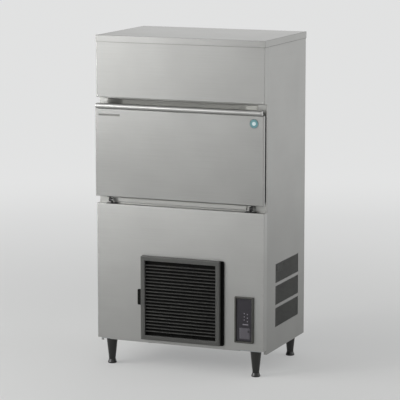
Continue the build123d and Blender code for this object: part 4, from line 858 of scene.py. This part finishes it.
flanks = np.arange(THREAD_START, THREAD_END, THREAD_PITCH / 2)
crests = CREST_RADIUS - THREAD_DEPTH * (np.arange(len(flanks)) % 2)
start, end = inlet_low[Y], inlet_high[Y]
body_profile = [(BORE_RADIUS, start), (BODY_RADIUS, start), (BODY_RADIUS, THREAD_START)]
mouth_profile = [
    (CREST_RADIUS - THREAD_DEPTH, THREAD_END + 0.4),
    (11.8, end),
    (BORE_RADIUS + 0.6, end),
    (BORE_RADIUS, end - 0.6),
]
thread_profile = np.concatenate([body_profile, np.stack([crests, flanks], -1), mouth_profile])
inlet_place = (inlet_middle[X], 0.0, inlet_middle[Z])
inlet_rings = turned(thread_profile, inlet_place, (0.0, 1.0, 0.0), 40)

nut_angle = np.linspace(0, 2 * np.pi, NUT_STEPS, endpoint=False)
nut_radius = NUT_HALF / np.cos((nut_angle + np.pi / 6) % (np.pi / 3) - np.pi / 6)
nut_outline = nut_radius[:, None] * np.stack([np.cos(nut_angle), np.sin(nut_angle)], -1)
nut_scales, nut_levels = np.transpose(NUT_LEVELS)
nut_rings = stacked([scale * nut_outline for scale in nut_scales], nut_levels, Y) + inlet_place
inlet_skins = [skin(inlet_rings, closed=True), skin(nut_rings, closed=True)]
make_piece("threaded_inlet", inlet_skins, brass, "cabinet", ["inlet_fitting"])

# %% [markdown]
# ## The fan
#
# An axial fan's blade is wide and flat at its tip, and narrow and steep at its root. The blade is
# a thin curved section whose pitch falls from root to tip, skinned from eight rings; five copies
# are turned about the shaft by a rotation matrix. The hub is a cup, turned from its profile.

# %% Fan
FAN_X, _, FAN_Z = box_mm("fan_motor")[1]
FAN_Y = box_mm("fan")[1][Y]
BLADES, BLADE_ROOT, BLADE_TIP = 5, 22.0, 106.0
ROOT_CHORD, TIP_CHORD, ROOT_PITCH, TIP_PITCH = 30.0, 58.0, 34.0, 18.0
BLADE_HALF_THICKNESS, BLADE_CAMBER, BLADE_SHIFT = 0.9, 3.0, -1.5
HUB_HALF, SHAFT_RADIUS = 12.0, 4.05


def fan_blade(turn):
    """A section of chord c(s) and pitch a(s) at radius r(s): chord direction (cos a, sin a), camber
    3 sin^2 t, thickness 0.9 sin t. Its points keep their radius, x^2 + z^2 = r^2, about the shaft."""
    s = np.linspace(0, 1, 8)[:, None]
    t = np.linspace(0, 2 * np.pi, 20, endpoint=False)[None, :]
    chord = ROOT_CHORD + (TIP_CHORD - ROOT_CHORD) * s
    angle = np.radians(ROOT_PITCH + (TIP_PITCH - ROOT_PITCH) * s)
    along = 0.5 * chord * np.cos(t)
    off = BLADE_HALF_THICKNESS * np.sin(t) + BLADE_CAMBER * (1 - np.cos(t) ** 2)
    radius = BLADE_ROOT + (BLADE_TIP - BLADE_ROOT) * s
    tangential = along * np.cos(angle) - off * np.sin(angle)
    axial = along * np.sin(angle) + off * np.cos(angle) + BLADE_SHIFT
    reach = np.sqrt(np.clip(radius**2 - tangential**2, 0, None))
    turn = math.radians(turn)
    x = reach * math.cos(turn) - tangential * math.sin(turn)
    z = reach * math.sin(turn) + tangential * math.cos(turn)
    return np.stack([FAN_X + x, FAN_Y + axial, FAN_Z + z], -1)


HUB_PROFILE = [
    (SHAFT_RADIUS, -HUB_HALF),
    (18.0, -HUB_HALF),
    (22.5, -10.5),
    (24.0, -7.0),
    (24.0, HUB_HALF),
    (21.0, HUB_HALF),
    (21.0, -8.0),
    (9.0, -8.0),
    (9.0, HUB_HALF),
    (SHAFT_RADIUS, HUB_HALF),
]
hub_rings = turned(HUB_PROFILE, (FAN_X, FAN_Y, FAN_Z), (0.0, 1.0, 0.0), 48)
fan_skins = [skin(hub_rings, closed=True)] + [skin(fan_blade(360 / BLADES * k)) for k in range(BLADES)]
make_piece("fan_wheel_moulding", fan_skins, filter_black, "fan_wheel", ["fan"])

# %% [markdown]
# ## The floor
#
# The machine stands in a pale studio. A floor that is only lit would need strong lamps to look
# pale, and they would bleach the steel. So the floor has two faces: scattered light sees a mid
# grey, which lights the machine gently, while the camera, reflections and glass also see it glow.
# The glow is weak under the machine and grows over a few metres, which paints a pool of shade round
# the machine, on the floor and in the steel's reflection of the floor. The rest of the floor's
# paleness is reflected light, so the machine's real shadow still shows.

# %% Floor
FLOOR_HALF = 30.0
NEAR, FAR, GLOW_NEAR, GLOW_FAR = 0.6, 5.0, 0.28, 0.58


def seen_directly(tree):
    """1 for camera, glossy and transmission rays, and 0 for scattered light: the largest of three."""
    rays = add_node(tree, "ShaderNodeLightPath").outputs
    pair = {0: rays["Is Camera Ray"], 1: rays["Is Glossy Ray"]}
    either = add_node(tree, "ShaderNodeMath", pair, operation="MAXIMUM").outputs[0]
    triple = {0: either, 1: rays["Is Transmission Ray"]}
    return add_node(tree, "ShaderNodeMath", triple, operation="MAXIMUM").outputs[0]


floor_paint, tree, shader, place = start_material("painted_studio_floor", Roughness=0.9)
shader.inputs["Base Color"].default_value = linear("#adadab")
shader.inputs["Specular IOR Level"].default_value = 0.0
shader.inputs["Emission Color"].default_value = linear("#ffffff")
# The glow fades towards the machine: painted shade round it, also seen in the steel's reflections.
away = add_node(tree, "ShaderNodeVectorMath", {0: place}, operation="LENGTH").outputs["Value"]
span = {"Value": away, "From Min": NEAR, "From Max": FAR, "To Min": GLOW_NEAR, "To Max": GLOW_FAR}
level = add_node(tree, "ShaderNodeMapRange", span, interpolation_type="SMOOTHSTEP").outputs["Result"]
both = {0: seen_directly(tree), 1: level}
glow = add_node(tree, "ShaderNodeMath", both, operation="MULTIPLY").outputs[0]
tree.links.new(glow, shader.inputs["Emission Strength"])

floor_mesh = bpy.data.meshes.new("floor")
floor_corners = [(FLOOR_HALF * x, FLOOR_HALF * y, 0.0) for x, y in ((-1, -1), (1, -1), (1, 1), (-1, 1))]
floor_mesh.from_pydata(floor_corners, [], [(0, 1, 2, 3)])
floor_mesh.materials.append(floor_paint)
floor = bpy.data.objects.new("floor", floor_mesh)
bpy.context.scene.collection.objects.link(floor)
floor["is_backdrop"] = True
print("floor in m:", 2 * FLOOR_HALF, "glow:", GLOW_NEAR, "to", GLOW_FAR)

# %% [markdown]
# ## The world
#
# What the steel mirrors is mostly the room around it. A room could be built or photographed, but
# broad soft tones are all that brushed steel shows of it, and a plain grey world gives these. It
# has the same two faces as the floor: the one that lights the machine is a little darker and
# cooler than the one that the camera and the steel's reflections see.

# %% World
world = bpy.data.worlds.new("studio")
world.use_nodes = True
bpy.context.scene.world = world
tree = world.node_tree
tree.nodes.clear()
lit = add_node(tree, "ShaderNodeBackground", {"Color": linear("#c4c6c8"), "Strength": 0.75})
shown = add_node(tree, "ShaderNodeBackground", {"Color": linear("#dedede"), "Strength": 1.0})
faces = {0: seen_directly(tree), 1: lit.outputs[0], 2: shown.outputs[0]}
choice = add_node(tree, "ShaderNodeMixShader", faces)
add_node(tree, "ShaderNodeOutputWorld", {"Surface": choice.outputs[0]})
print("world nodes:", len(tree.nodes))

# %% [markdown]
# ## Lamps
#
# The cabinet is nearly a mirror for broad shapes, so its tones are the tones of the studio. A
# large soft lamp in front and to the left brightens the upper left of the front and leaves its
# right and lower parts greyer. A lower one on the left and a narrow beam on the corner lift the
# left edge, a broad weak one lights the right side, and two faint ones behind keep the rear and
# the top readable. Each lamp is a square that looks at a point on the machine.

# %% Lamps


def soft_lamp(name, place, target, size, watts, spread_angle=180.0):
    """A square area lamp at a place, turned to look at a target; the spread narrows its beam."""
    data = bpy.data.lights.new(name, "AREA")
    data.shape = "SQUARE"
    data.size = size
    data.energy = watts
    data.spread = math.radians(spread_angle)
    lamp = bpy.data.objects.new(name, data)
    lamp.location = place
    x, y, z = (np.array(place) - target) / np.linalg.norm(np.array(place) - target)
    lamp.rotation_euler = (math.acos(z), 0.0, math.atan2(y, x) + math.pi / 2)
    bpy.context.scene.collection.objects.link(lamp)


soft_lamp("key_lamp", (-2.2, -3.0, 2.2), (-0.1, 0.0, 0.9), 1.8, 38.0)
soft_lamp("left_lamp", (-2.6, -1.2, 1.4), (-0.3, 0.0, 0.9), 1.2, 26.0)
soft_lamp("corner_lamp", (-2.6, -2.6, 1.6), (-0.35, -0.23, 1.0), 1.0, 3.0, spread_angle=40.0)
soft_lamp("side_lamp", (2.6, 0.6, 1.7), (0.35, 0.0, 1.0), 2.0, 16.0)
soft_lamp("rear_right_lamp", (1.7, 3.0, 0.95), (0.35, 0.0, 0.8), 1.6, 4.0)
soft_lamp("rear_lamp", (-0.9, 2.8, 1.9), (0.1, 0.0, 1.3), 1.6, 5.0)
print("lamps:", len(bpy.data.lights))

# %% [markdown]
# ## View settings and the model's size
#
# The Standard view shows each colour as it was written, which a filmic one would shift. Last, the
# box of the solids and the box of the dressed machine are written down side by side. They should
# agree, because no new piece reaches past the solids.

# %% View settings, size and finish
bpy.context.scene.view_settings.view_transform = "Standard"
both = [[list(map(float, corner)) for corner in bounds] for bounds in (cad_bounds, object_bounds())]
print("cad box:", both[0])
print("visual box:", both[1])
